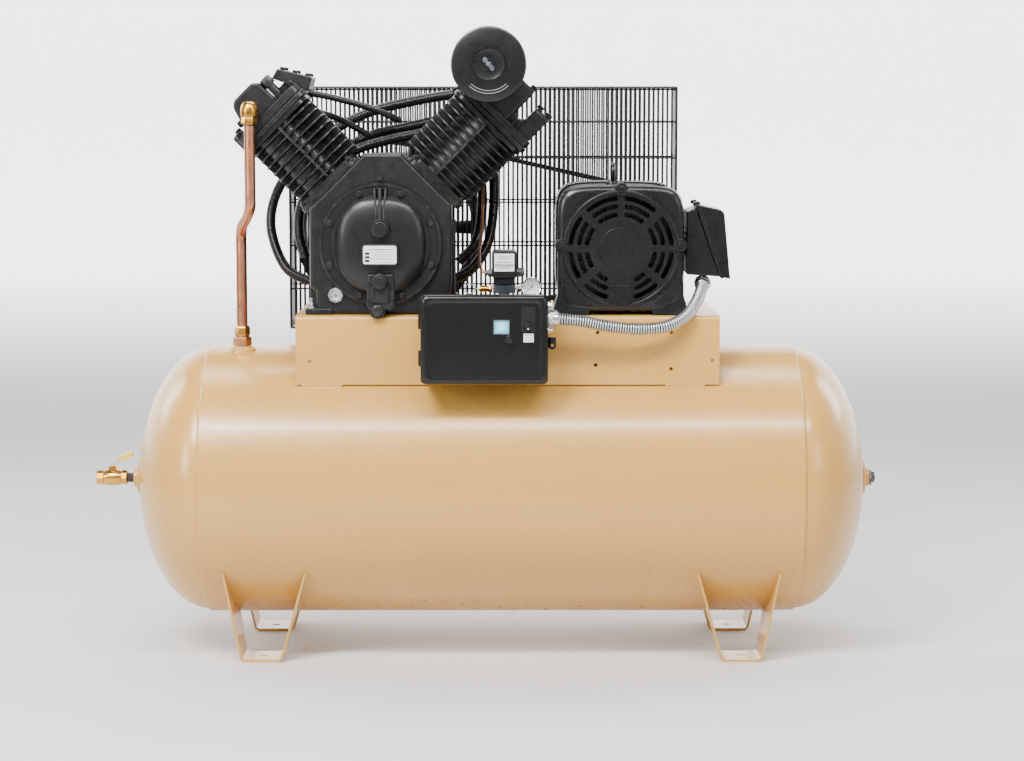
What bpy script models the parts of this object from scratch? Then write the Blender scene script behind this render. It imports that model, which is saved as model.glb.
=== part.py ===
"""Twin stack compressor: a two-stage V-twin air compressor on a horizontal tank.

Metres, +Z up. The object faces -Y. Shapes are placed from the centre of the tank's
footprint, and one parent empty moves them so that the frame's origin is the centre
of the whole object's footprint on the floor.
"""

import math

import bmesh
import bpy
from mathutils import Matrix, Vector

# ---- driving dimensions -------------------------------------------------------------
FOOTPRINT_SHIFT = (0.0361, -0.0232, 0.0)  # tank centre seen from the footprint centre
GAP = 0.0003  # space kept between touching pieces

TANK_R = 0.305
TANK_Z = 0.385
TANK_WALL = 0.005
SHELL_HALF = 0.665
HEAD_DEPTH = 0.162
HEAD_SKIRT = 0.035
PORT_R = 0.022

FOOT_X = 0.536
FOOT_PAD_HALF = 0.045
FOOT_TOP_HALF = 0.094
FOOT_STRAP = 0.006
FOOT_TOP = 0.24

BASE_LEFT = -0.455
BASE_RIGHT = 0.482
BASE_HALF = 0.2
BASE_TOP = 0.775
BASE_LOW = 0.622
BASE_SHEET = 0.005

CRANK_X = -0.267
CRANK_Z = 0.945
CASE_FRONT = -0.17
CASE_BACK = 0.13
CASE_HALF = 0.157
SECOND_DECK, FIRST_DECK = 0.1577, 0.163  # crank centre to the face that a cylinder stands on
CASE_TOP = 0.186
CRANK_THROW = 0.035
SHAFT_R = 0.022
COVER_R = 0.136
COVER_Z = 0.931

CYLINDER_ANGLE = math.radians(45)
SECOND_Y, FIRST_Y = -0.055, -0.005
SECOND_FIN_R, FIRST_FIN_R = 0.09, 0.099
SECOND_BORE, FIRST_BORE = 0.045, 0.065
SECOND_TOP, FIRST_TOP = 0.342, 0.350  # crank centre to the top of each cylinder
FIN_COUNT = 8
FIN_THICK = 0.005

WHEEL_Y = 0.285
WHEEL_R = 0.222
PULLEY_R = 0.127
WHEEL_WIDTH = 0.07
BELT_WIDTH, BELT_THICK = 0.017, 0.011
BELT_PITCH = 0.028
GROOVE = 0.009

MOTOR_X, MOTOR_Z = 0.263, 0.923
MOTOR_HALF = 0.14
MOTOR_FRONT, MOTOR_BACK = -0.2, 0.14
BELL_DEPTH = 0.07
MOTOR_SHAFT_R = 0.019

GUARD_LEFT, GUARD_RIGHT = -0.503, 0.416
GUARD_LOW, GUARD_HIGH = 0.706, 1.281
GUARD_FRONT, GUARD_BACK = 0.214, 0.372
GUARD_SHEET = 0.004

FILTER_X, FILTER_Z, FILTER_R = -0.028, 1.326, 0.083
FILTER_FRONT, FILTER_BACK = -0.2, -0.112

BOX_LEFT, BOX_RIGHT = -0.176, 0.101
BOX_LOW, BOX_HIGH = 0.635, 0.831
BOX_FRONT = -0.318
DOOR_THICK = 0.018

SWITCH_X, SWITCH_Y = 0.006, -0.15
GAUGE_X, GAUGE_Z, GAUGE_R = 0.066, 0.837, 0.0215

PIPE_R = 0.0125
PIPE_X_TOP, PIPE_X_LOW = -0.555, -0.587
PIPE_Y_TOP, PIPE_Y_LOW = -0.16, -0.05

# ---- scene, collections and materials --------------------------------------------------
for old in list(bpy.data.objects):
    bpy.data.objects.remove(old, do_unlink=True)

PARTS = bpy.data.collections.new("twin_stack_compressor")
CUTTERS = bpy.data.collections.new("cutters")
bpy.context.scene.collection.children.link(PARTS)
bpy.context.scene.collection.children.link(CUTTERS)

FRAME = bpy.data.objects.new("compressor_frame", None)
FRAME.location = FOOTPRINT_SHIFT
PARTS.objects.link(FRAME)


def material(name, colour, roughness, metallic=0.0):
    mat = bpy.data.materials.new(name)
    mat.use_nodes = True
    shader = mat.node_tree.nodes["Principled BSDF"]
    shader.inputs["Base Color"].default_value = (*colour, 1.0)
    shader.inputs["Roughness"].default_value = roughness
    shader.inputs["Metallic"].default_value = metallic
    mat.diffuse_color = (*colour, 1.0)
    return mat


TAN = material("tan_paint", (0.60, 0.42, 0.23), 0.3)
IRON = material("black_iron", (0.02, 0.021, 0.023), 0.45)
COPPER = material("copper", (0.72, 0.33, 0.2), 0.3, 1.0)
BRASS = material("brass", (0.72, 0.5, 0.22), 0.3, 1.0)
STEEL = material("zinc_steel", (0.6, 0.61, 0.62), 0.35, 1.0)
ALLOY = material("piston_alloy", (0.66, 0.67, 0.69), 0.35, 1.0)
RUBBER = material("belt_rubber", (0.02, 0.02, 0.02), 0.8)
PLASTIC = material("black_plastic", (0.025, 0.025, 0.027), 0.4)
YELLOW = material("yellow_vinyl", (0.85, 0.6, 0.05), 0.5)
WIRE = material("guard_wire", (0.03, 0.028, 0.026), 0.5)
PAPER = material("filter_paper", (0.55, 0.4, 0.25), 0.9)


# ---- making shapes ------------------------------------------------------------------
AXES = {
    "X": Matrix(((0, 0, 1), (1, 0, 0), (0, 1, 0))),
    "Y": Matrix(((1, 0, 0), (0, 0, -1), (0, 1, 0))),
    "Z": Matrix.Identity(3),
}


def turn_to(direction):
    """Rotation that takes local +Z to a direction."""
    return Vector(direction).to_track_quat("Z", "Y")


def place(obj, mat, cutter=False):
    """Puts an object in its collection, under the frame's empty."""
    obj.parent = FRAME
    if mat is not None:
        obj.data.materials.append(mat)
    if cutter:
        CUTTERS.objects.link(obj)
        obj.hide_render = True
        obj.display_type = "WIRE"
    else:
        PARTS.objects.link(obj)
    return obj


def from_bmesh(name, shape, mat, cutter=False):
    mesh = bpy.data.meshes.new(name)
    shape.to_mesh(mesh)
    shape.free()
    return place(bpy.data.objects.new(name, mesh), mat, cutter)


def smooth(obj, angle=40):
    obj.data.shade_smooth()
    obj.data.set_sharp_from_angle(angle=math.radians(angle))
    return obj


def box(name, low, high, mat=None, bevel=0.0, segments=1, cutter=False):
    """A box between two corners, with its scale in the mesh."""
    low, high = Vector(low), Vector(high)
    shape = bmesh.new()
    bmesh.ops.create_cube(shape, size=1.0)
    bmesh.ops.scale(shape, vec=high - low, verts=shape.verts)
    obj = from_bmesh(name, shape, mat, cutter)
    obj.location = (low + high) / 2
    if bevel:
        edge = obj.modifiers.new("edges", "BEVEL")
        edge.width = bevel
        edge.segments = segments
    return obj


def rod(name, start, end, radius, mat=None, sides=20, end_radius=None, cutter=False):
    """A cylinder or cone between two points."""
    start, end = Vector(start), Vector(end)
    shape = bmesh.new()
    bmesh.ops.create_cone(
        shape,
        cap_ends=True,
        segments=sides,
        radius1=radius,
        radius2=radius if end_radius is None else end_radius,
        depth=(end - start).length,
    )
    obj = from_bmesh(name, shape, mat, cutter)
    obj.rotation_mode = "QUATERNION"
    obj.rotation_quaternion = turn_to(end - start)
    obj.location = (start + end) / 2
    return smooth(obj)


def turned(name, profile, centre, axis, mat=None, steps=32, ring=False, cutter=False):
    """A turned shape. The profile holds (radius, height) pairs, top to bottom outside."""
    mesh = bpy.data.meshes.new(name)
    edges = [(i, i + 1) for i in range(len(profile) - 1)]
    if ring:
        edges.append((len(profile) - 1, 0))
    mesh.from_pydata([(r, 0.0, h) for r, h in profile], edges, [])
    obj = place(bpy.data.objects.new(name, mesh), mat, cutter)
    obj.rotation_mode = "QUATERNION"
    obj.rotation_quaternion = turn_to(axis)
    obj.location = centre
    screw = obj.modifiers.new("turn", "SCREW")
    screw.steps = steps
    screw.render_steps = steps
    screw.use_merge_vertices = True
    screw.merge_threshold = 0.00001
    screw.use_smooth_shade = False
    return obj


def plate(name, outline, low, high, axis, mat=None, holes=(), cutter=False):
    """A flat outline, given the two coordinates across an axis, between two stations."""
    curve = bpy.data.curves.new(name, "CURVE")
    curve.dimensions = "2D"
    curve.fill_mode = "BOTH"
    curve.extrude = (high - low) / 2
    for loop in (outline, *holes):
        spline = curve.splines.new("POLY")
        spline.points.add(len(loop) - 1)
        for point, (a, b) in zip(spline.points, loop):
            point.co = (a, b, 0.0, 1.0)
        spline.use_cyclic_u = True
    flat = bpy.data.objects.new(name, curve)
    CUTTERS.objects.link(flat)
    bpy.context.view_layer.update()
    graph = bpy.context.evaluated_depsgraph_get()
    mesh = bpy.data.meshes.new_from_object(flat.evaluated_get(graph))
    bpy.data.objects.remove(flat)
    shape = bmesh.new()
    shape.from_mesh(mesh)
    bmesh.ops.remove_doubles(shape, verts=shape.verts, dist=0.00001)
    bmesh.ops.recalc_face_normals(shape, faces=shape.faces)
    shape.to_mesh(mesh)
    shape.free()
    obj = place(bpy.data.objects.new(name, mesh), mat, cutter)
    obj.matrix_basis = AXES[axis].to_4x4()
    station = (low + high) / 2
    obj.location = Vector([station if letter == axis else 0.0 for letter in "XYZ"])
    return smooth(obj, 30)


def tube(name, points, radius, mat, resolution=2):
    """A pipe or wire along a row of points."""
    curve = bpy.data.curves.new(name, "CURVE")
    curve.dimensions = "3D"
    curve.bevel_depth = radius
    curve.bevel_resolution = resolution
    curve.use_fill_caps = True
    spline = curve.splines.new("POLY")
    spline.points.add(len(points) - 1)
    for target, point in zip(spline.points, points):
        target.co = (*point, 1.0)
    return place(bpy.data.objects.new(name, curve), mat)


def solve(obj, other, operation):
    step = obj.modifiers.new(other.name[:40], "BOOLEAN")
    step.operation = operation
    step.object = other
    step.solver = "EXACT"


def join(obj, *others):
    for other in others:
        solve(obj, other, "UNION")


def cut(obj, *others):
    for other in others:
        solve(obj, other, "DIFFERENCE")


def keep(obj, other):
    solve(obj, other, "INTERSECT")


# ---- outlines and routes -----------------------------------------------------------------
def arc(cx, cz, radius, start, end, count):
    """Points of an arc, with angles in degrees from +X."""
    turn = [math.radians(start + (end - start) * i / count) for i in range(count + 1)]
    return [(cx + radius * math.cos(a), cz + radius * math.sin(a)) for a in turn]


def circle(cx, cz, radius, count):
    return arc(cx, cz, radius, 0, 360 - 360 / count, count - 1)


def rounded(left, low, right, high, radius, count=3):
    """A rectangle with round corners."""
    points = arc(right - radius, high - radius, radius, 0, 90, count)
    points += arc(left + radius, high - radius, radius, 90, 180, count)
    points += arc(left + radius, low + radius, radius, 180, 270, count)
    points += arc(right - radius, low + radius, radius, 270, 360, count)
    return points


def smooth_route(points, per_span=4):
    """A Catmull-Rom curve through the given points."""
    pts = [Vector(p) for p in points]
    ends = [2 * pts[0] - pts[1], *pts, 2 * pts[-1] - pts[-2]]
    route = []
    for i in range(1, len(ends) - 2):
        a, b, c, d = ends[i - 1 : i + 3]
        for k in range(per_span):
            t = k / per_span
            route.append(
                0.5 * (2 * b + (c - a) * t + (2 * a - 5 * b + 4 * c - d) * t**2
                       + (3 * b - a - 3 * c + d) * t**3)
            )
    route.append(pts[-1])
    return route


def tank_cutter(name):
    """The tank's outside, grown by the gap."""
    reach = SHELL_HALF + 0.1
    return rod(name, (-reach, 0, TANK_Z), (reach, 0, TANK_Z), TANK_R + GAP, sides=96, cutter=True)


# ---- tank ------------------------------------------------------------------------------
def tank_shell():
    inner = TANK_R - TANK_WALL
    profile = [
        (TANK_R, SHELL_HALF),
        (TANK_R, -SHELL_HALF),
        (inner, -SHELL_HALF),
        (inner, SHELL_HALF),
    ]
    turned("tank_shell", profile, (0, 0, TANK_Z), (1, 0, 0), TAN, steps=40, ring=True)


def head_curve(radius, depth, count):
    """Points of a 2:1 dished head, from the port's edge out to the skirt."""
    first = math.asin(PORT_R / radius)
    angles = [first + (math.pi / 2 - first) * i / count for i in range(count + 1)]
    return [(radius * math.sin(a), depth * math.cos(a)) for a in angles]


def tank_head(name, side):
    outer_r = TANK_R - TANK_WALL - GAP
    outside = head_curve(outer_r, HEAD_DEPTH, 5)
    inside = head_curve(outer_r - TANK_WALL, HEAD_DEPTH - TANK_WALL, 5)
    profile = outside + [(outer_r, -HEAD_SKIRT), (outer_r - TANK_WALL, -HEAD_SKIRT)]
    profile += list(reversed(inside))
    centre = (side * SHELL_HALF, 0, TANK_Z)
    return turned(name, profile, centre, (side, 0, 0), TAN, steps=40, ring=True)


def tank_port(head, side):
    """A flanged coupling welded in the middle of a head."""
    face = SHELL_HALF + HEAD_DEPTH
    bore = 0.012
    profile = [
        (0.021, 0.017),
        (0.021, 0.006),
        (0.039, 0.006),
        (0.039, -0.0025),
        (PORT_R + 0.002, -0.0025),
        (PORT_R + 0.002, -0.012),
        (bore, -0.012),
        (bore, 0.017),
    ]
    port = turned("port_ring", profile, (side * face, 0, TANK_Z), (side, 0, 0), steps=20,
                  ring=True, cutter=True)
    join(head, port)


def foot(name, side, front):
    """A strap bent to a flared U, whose legs widen towards the tank they are welded to."""
    x = side * FOOT_X
    t = FOOT_STRAP
    outline = [
        (x - FOOT_TOP_HALF, FOOT_TOP),
        (x - FOOT_PAD_HALF, t),
        (x - FOOT_PAD_HALF, 0.0),
        (x + FOOT_PAD_HALF, 0.0),
        (x + FOOT_PAD_HALF, t),
        (x + FOOT_TOP_HALF, FOOT_TOP),
        (x + FOOT_TOP_HALF - t, FOOT_TOP),
        (x + FOOT_PAD_HALF - t, t),
        (x - FOOT_PAD_HALF + t, t),
        (x - FOOT_TOP_HALF + t, FOOT_TOP),
    ]
    depth = sorted((front * 0.26, front * 0.03))
    strap = plate(name, outline, depth[0], depth[1], "Y", TAN)
    sides = [
        (front * 0.215, -0.01),
        (front * 0.215, 0.02),
        (front * 0.252, 0.21),
        (front * 0.252, 0.26),
        (front * 0.05, 0.26),
        (front * 0.12, 0.02),
        (front * 0.12, -0.01),
    ]
    reach = FOOT_TOP_HALF + 0.02
    taper = plate(name + "_taper", sides, x - reach, x + reach, "X", cutter=True)
    slot = rounded(x - 0.009, front * 0.167 - 0.005, x + 0.009, front * 0.167 + 0.005, 0.0048)
    hole = plate(name + "_slot", slot, -0.01, 0.02, "Z", cutter=True)
    keep(strap, taper)
    cut(strap, hole, tank_cutter(name + "_tank"))


def base_platform():
    """A sheet bent down at the front and back, standing on the tank on four tabs."""
    t, r = BASE_SHEET, 0.009
    outer = [(-BASE_HALF, BASE_LOW)]
    outer += arc(-BASE_HALF + r, BASE_TOP - r, r, 180, 90, 3)
    outer += arc(BASE_HALF - r, BASE_TOP - r, r, 90, 0, 3)
    outer += [(BASE_HALF, BASE_LOW), (BASE_HALF - t, BASE_LOW)]
    outer += arc(BASE_HALF - r, BASE_TOP - r, r - t, 0, 90, 2)
    outer += arc(-BASE_HALF + r, BASE_TOP - r, r - t, 90, 180, 2)
    outer += [(-BASE_HALF + t, BASE_LOW)]
    sheet = plate("base_platform", outer, BASE_LEFT, BASE_RIGHT, "X", TAN)
    for i, (left, right) in enumerate(((-0.442, -0.352), (0.362, 0.45))):
        for side in (-1, 1):
            y = sorted((side * BASE_HALF, side * (BASE_HALF - t)))
            tab = f"base_tab_{i}_{side + 1}"
            join(sheet, box(tab, (left, y[0], 0.605), (right, y[1], BASE_LOW + 0.01), cutter=True))
    cut(sheet, tank_cutter("base_tank"))
    holes = ((-0.424, 0.674), (0.212, 0.738), (0.375, 0.738), (0.208, 0.666), (0.375, 0.657),
             (0.466, 0.676))
    for i, (x, z) in enumerate(holes):
        start, end = (x, -BASE_HALF - 0.01, z), (x, -BASE_HALF + 0.02, z)
        cut(sheet, rod(f"base_hole_{i}", start, end, 0.0042, sides=10, cutter=True))


# ---- outlet valve and plug --------------------------------------------------------------------
VALVE_X = -0.894
VALVE_AXIS = TANK_Z


def outlet_valve():
    start = -(SHELL_HALF + HEAD_DEPTH) + 0.004
    nipple_end = VALVE_X + 0.026
    nipple = [
        (0.0115, 0.0),
        (0.0115, nipple_end - start),
        (0.008, nipple_end - start),
        (0.008, 0.0),
    ]
    turned("outlet_nipple", nipple, (start, 0, VALVE_AXIS), (1, 0, 0), STEEL, 16, ring=True)
    body = [
        (0.016, 0.034),
        (0.016, 0.02),
        (0.0185, 0.014),
        (0.0185, -0.014),
        (0.016, -0.02),
        (0.016, -0.0365),
        (0.0105, -0.0365),
        (0.0105, -0.02),
        (0.0138, -0.012),
        (0.0138, 0.012),
        (0.0122, 0.02),
        (0.0122, 0.034),
    ]
    valve = turned("valve_body", body, (VALVE_X, 0, VALVE_AXIS), (1, 0, 0), BRASS, 14, ring=True)
    low = (VALVE_X, 0, VALVE_AXIS + 0.015)
    neck = rod("valve_neck", low, (VALVE_X, 0, VALVE_AXIS + 0.027), 0.0085, sides=16, cutter=True)
    join(valve, neck)
    top = (VALVE_X, 0, VALVE_AXIS + 0.04)
    cut(valve, rod("valve_stem_hole", (VALVE_X, 0, VALVE_AXIS), top, 0.0052, sides=16, cutter=True))
    ball = bmesh.new()
    bmesh.ops.create_uvsphere(ball, u_segments=12, v_segments=8, radius=0.0128)
    ball_obj = from_bmesh("valve_ball", ball, STEEL)
    ball_obj.location = (VALVE_X, 0, VALVE_AXIS)
    ends = (VALVE_X - 0.02, 0, VALVE_AXIS), (VALVE_X + 0.02, 0, VALVE_AXIS)
    cut(ball_obj, rod("valve_bore", *ends, 0.006, sides=12, cutter=True))
    valve_handle()


def valve_handle():
    """The lever lies along the pipe, open, and cranks up over the tank's port."""
    z = VALVE_AXIS + 0.031
    side = [
        (VALVE_X - 0.01, z),
        (VALVE_X + 0.01, z),
        (VALVE_X + 0.016, z + 0.012),
        (VALVE_X + 0.044, z + 0.022),
        (VALVE_X + 0.044, z + 0.0245),
        (VALVE_X + 0.015, z + 0.0142),
        (VALVE_X + 0.009, z + 0.0025),
        (VALVE_X - 0.01, z + 0.0025),
    ]
    lever = plate("valve_lever", side, -0.008, 0.008, "Y", STEEL)
    low = (VALVE_X, 0, VALVE_AXIS + 0.0135)
    stem = rod("valve_stem", low, (VALVE_X, 0, z + 0.008), 0.0048, sides=12, cutter=True)
    join(lever, stem)
    grip = [
        (VALVE_X + 0.018, z + 0.0075),
        (VALVE_X + 0.048, z + 0.018),
        (VALVE_X + 0.046, z + 0.0295),
        (VALVE_X + 0.016, z + 0.019),
    ]
    sleeve = plate("valve_grip", grip, -0.0105, 0.0105, "Y", YELLOW)
    slot = [
        (VALVE_X + 0.004, z + 0.0077 - 2 * GAP),
        (VALVE_X + 0.044 + GAP, z + 0.022 - 2 * GAP),
        (VALVE_X + 0.044 + GAP, z + 0.0245 + 2 * GAP),
        (VALVE_X + 0.004, z + 0.0103 + 2 * GAP),
    ]
    cut(sleeve, plate("grip_slot", slot, -0.008 - GAP, 0.008 + GAP, "Y", cutter=True))


def pipe_plug():
    face = SHELL_HALF + HEAD_DEPTH + 0.017 + GAP
    profile = [(0, 0.014), (0.011, 0.014), (0.011, 0.005), (0.017, 0.005), (0.017, 0), (0, 0)]
    turned("pipe_plug", profile, (face, 0, TANK_Z), (1, 0, 0), IRON, 6)


# ---- discharge line ----------------------------------------------------------------------------
def discharge_line():
    top = TANK_Z + math.sqrt(TANK_R**2 - PIPE_Y_LOW**2)
    x, y = PIPE_X_LOW, PIPE_Y_LOW
    boss = rod("discharge_boss", (x, y, top - 0.03), (x, y, top + 0.008), 0.032, TAN, sides=24)
    cut(boss, tank_cutter("boss_tank"))
    cut(boss, rod("boss_bore", (x, y, 0.6), (x, y, 0.8), 0.012, sides=16, cutter=True))
    seat = top + 0.008 + GAP
    check = [
        (0.013, 0.048),
        (0.0175, 0.045),
        (0.0175, 0.026),
        (0.015, 0.023),
        (0.0205, 0.021),
        (0.0205, 0.0),
        (0.009, 0.0),
        (0.009, 0.03),
        (0.013 + 2 * GAP - 0.0001, 0.03),
    ]
    turned("check_valve", check, (x, y, seat), (0, 0, 1), BRASS, 6, ring=True)
    elbow_z = 1.222
    route = [
        (PIPE_X_TOP, PIPE_Y_TOP, elbow_z - 0.03),
        (PIPE_X_TOP, PIPE_Y_TOP, 1.1),
        (PIPE_X_TOP, PIPE_Y_TOP, 1.02),
        (PIPE_X_TOP - 0.006, PIPE_Y_TOP + 0.015, 0.995),
        (PIPE_X_LOW + 0.008, PIPE_Y_LOW - 0.02, 0.965),
        (PIPE_X_LOW, PIPE_Y_LOW, 0.94),
        (PIPE_X_LOW, PIPE_Y_LOW, 0.86),
        (PIPE_X_LOW, PIPE_Y_LOW, seat + 0.049),
    ]
    tube("discharge_pipe", smooth_route(route, 2), PIPE_R - 0.0005, COPPER)
    elbow = rod(
        "discharge_elbow",
        (PIPE_X_TOP, PIPE_Y_TOP, elbow_z - 0.0295),
        (PIPE_X_TOP, PIPE_Y_TOP, elbow_z + 0.018),
        0.019,
        BRASS,
        sides=12,
    )
    inward = (PIPE_X_TOP, SECOND_Y - 0.075 - GAP, elbow_z)
    join(elbow, rod("elbow_arm", (PIPE_X_TOP, PIPE_Y_TOP, elbow_z), inward, 0.016, sides=12,
                    cutter=True))


# ---- pump ----------------------------------------------------------------------------------------
def along(side, distance, y):
    """A point on a cylinder's axis, at a distance from the crank."""
    dx = side * math.sin(CYLINDER_ANGLE)
    return Vector((CRANK_X + dx * distance, y, CRANK_Z + math.cos(CYLINDER_ANGLE) * distance))


def crankcase():
    base = BASE_TOP + GAP
    half = CASE_HALF
    outline = [
        (CRANK_X - half, base),
        (CRANK_X + half, base),
        (CRANK_X + half, CRANK_Z + FIRST_DECK * math.sqrt(2) - half),
        (CRANK_X + FIRST_DECK * math.sqrt(2) - CASE_TOP, CRANK_Z + CASE_TOP),
        (CRANK_X - SECOND_DECK * math.sqrt(2) + CASE_TOP, CRANK_Z + CASE_TOP),
        (CRANK_X - half, CRANK_Z + SECOND_DECK * math.sqrt(2) - half),
    ]
    case = plate("crankcase", outline, CASE_FRONT, CASE_BACK, "Y", IRON)
    low = (CRANK_X - half - 0.012, CASE_FRONT + 0.02, base)
    high = (CRANK_X + half + 0.012, CASE_BACK + 0.03, base + 0.022)
    join(case, box("case_foot", low, high, cutter=True))
    sump = (CRANK_X, CASE_FRONT - 0.02, COVER_Z), (CRANK_X, CASE_BACK - 0.02, COVER_Z)
    back = (CRANK_X, 0, CRANK_Z), (CRANK_X, CASE_BACK + 0.05, CRANK_Z)
    cut(case, rod("case_sump", *sump, 0.124, sides=32, cutter=True))
    cut(case, rod("case_rear_hole", *back, 0.06, sides=24, cutter=True))
    for side, y, bore in ((-1, SECOND_Y, SECOND_BORE), (1, FIRST_Y, FIRST_BORE)):
        ends = along(side, 0.02, y), along(side, 0.24, y)
        cut(case, rod(f"case_bore_{side + 1}", *ends, bore + 0.012, sides=24, cutter=True))


def front_cover():
    """A round cover with a domed middle, held by eight bolts."""
    y = CASE_FRONT - GAP
    profile = [
        (0, 0.034),
        (0.06, 0.032),
        (0.086, 0.024),
        (0.1, 0.012),
        (COVER_R - 0.004, 0.010),
        (COVER_R, 0.006),
        (COVER_R, 0.0),
        (0.118, 0.0),
        (0.118, -0.012),
        (0.026, -0.012),
        (0.026, 0.012),
        (0, 0.012),
    ]
    cover = turned("front_cover", profile, (CRANK_X, y, COVER_Z), (0, -1, 0), IRON, 24)
    boss = (CRANK_X, y - 0.02, 0.967), (CRANK_X, y - 0.052, 0.967)
    join(cover, rod("cover_boss", *boss, 0.02, sides=16, end_radius=0.017, cutter=True))
    fill = box("cover_fill", (CRANK_X - 0.024, y - 0.05, 0.838), (CRANK_X + 0.024, y - 0.01, 0.87),
               cutter=True)
    join(cover, fill)


def rear_bearing_cover():
    y = CASE_BACK + GAP
    profile = [
        (SHAFT_R + 0.012, 0.034),
        (0.05, 0.03),
        (0.055, 0.012),
        (0.085, 0.01),
        (0.085, 0.0),
        (0.058, 0.0),
        (0.058, -0.018),
        (SHAFT_R + 0.003, -0.018),
        (SHAFT_R + 0.003, 0.034),
    ]
    turned("rear_bearing_cover", profile, (CRANK_X, y, CRANK_Z), (0, 1, 0), IRON, 16, ring=True)


def crankshaft():
    """Main journal, a web with its counterweight, and one crankpin hanging down."""
    web_y = 0.045
    start, end = (CRANK_X, web_y, CRANK_Z), (CRANK_X, WHEEL_Y + 0.045, CRANK_Z)
    shaft = rod("crankshaft", start, end, SHAFT_R, STEEL, sides=20)
    web = arc(CRANK_X, CRANK_Z, 0.07, 20, 160, 8)
    web += arc(CRANK_X, CRANK_Z - CRANK_THROW, 0.026, 200, 340, 6)
    join(shaft, plate("crank_web", web, web_y, web_y + 0.022, "Y", cutter=True))
    pin = (CRANK_X, -0.11, CRANK_Z - CRANK_THROW), (CRANK_X, web_y + 0.01, CRANK_Z - CRANK_THROW)
    join(shaft, rod("crank_pin", *pin, 0.019, sides=16, cutter=True))


def cylinder(name, side, y, bore, fin_r, deck, top):
    """A finned barrel that stands on the crankcase's sloping deck."""
    height = top - deck
    wall = bore + 0.016
    profile = [(wall, height - 2 * GAP)]
    pitch = (height - 0.03) / FIN_COUNT
    for i in range(FIN_COUNT):
        fin_top = height - 0.006 - i * pitch
        profile += [(wall, fin_top), (fin_r, fin_top), (fin_r, fin_top - FIN_THICK)]
        profile += [(wall, fin_top - FIN_THICK)]
    profile += [(wall, 0.014), (wall + 0.016, 0.014), (wall + 0.016, GAP), (bore + 0.011, GAP)]
    profile += [(bore + 0.011, -0.02), (bore + 0.0006, -0.02), (bore + 0.0006, height - 2 * GAP)]
    seat = along(side, deck + GAP, y)
    axis = along(side, 1, y) - along(side, 0, y)
    turned(name, profile, seat, axis, IRON, 16, ring=True)


def cylinder_head(name, side, y, top, length, width, height):
    """A chambered head: a block on the barrel with a raised cover over its ports."""
    seat = along(side, top + GAP, y)
    axis = (along(side, 1, y) - along(side, 0, y)).normalized()
    turn = turn_to(axis)
    across = Vector((-side * math.cos(CYLINDER_ANGLE), 0, math.sin(CYLINDER_ANGLE)))
    head = oriented_box(name, seat, axis, across, (length, width, 0.0), height * 0.62, IRON)
    block = oriented_box(name + "_cover", seat, axis, across, (length - 0.03, width - 0.03, 0.0),
                         height, None, cutter=True)
    join(head, block)
    return head, turn


def oriented_box(name, seat, axis, across, size, height, mat, cutter=False):
    """A box standing on a sloping seat: size along the slope and along Y."""
    shape = bmesh.new()
    bmesh.ops.create_cube(shape, size=1.0)
    bmesh.ops.scale(shape, vec=(size[0], size[1], height), verts=shape.verts)
    bmesh.ops.translate(shape, vec=(0, 0, height / 2), verts=shape.verts)
    obj = from_bmesh(name, shape, mat, cutter)
    side_axis = axis.cross(across)
    turn = Matrix((across, side_axis, axis)).transposed()
    obj.matrix_basis = Matrix.Translation(seat) @ turn.to_4x4()
    if not cutter:
        edge = obj.modifiers.new("edges", "BEVEL")
        edge.width = 0.012
        edge.segments = 2
    return obj


def piston(name, side, y, bore, top):
    """A trunk piston at the low end of its stroke, open below for its rod."""
    crown = top - 2 * CRANK_THROW - 0.004
    profile = [
        (0, 0.0),
        (bore, 0.0),
        (bore, -0.05),
        (bore - 0.008, -0.05),
        (bore - 0.008, -0.01),
        (0, -0.01),
    ]
    axis = along(side, 1, y) - along(side, 0, y)
    turned(name, profile, along(side, crown, y), axis, ALLOY, 16)
    return crown


def connecting_rod(name, side, y, crown):
    """The rod of a piston, opened at its big end so that the crank can turn."""
    top = along(side, crown - 0.0105, y)
    low = along(side, 0.088, y)
    bar = rod(name, low, top, 0.011, STEEL, sides=10)
    eye_low = along(side, 0.078, y)
    join(bar, rod(name + "_eye", eye_low, along(side, 0.094, y), 0.017, sides=12, cutter=True))


def oil_fittings():
    y = CASE_FRONT - 0.05 - 2 * GAP
    ends = (CRANK_X, y, 0.853), (CRANK_X, y - 0.016, 0.853)
    rod("oil_filler_cap", *ends, 0.019, PLASTIC, sides=16)


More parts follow.
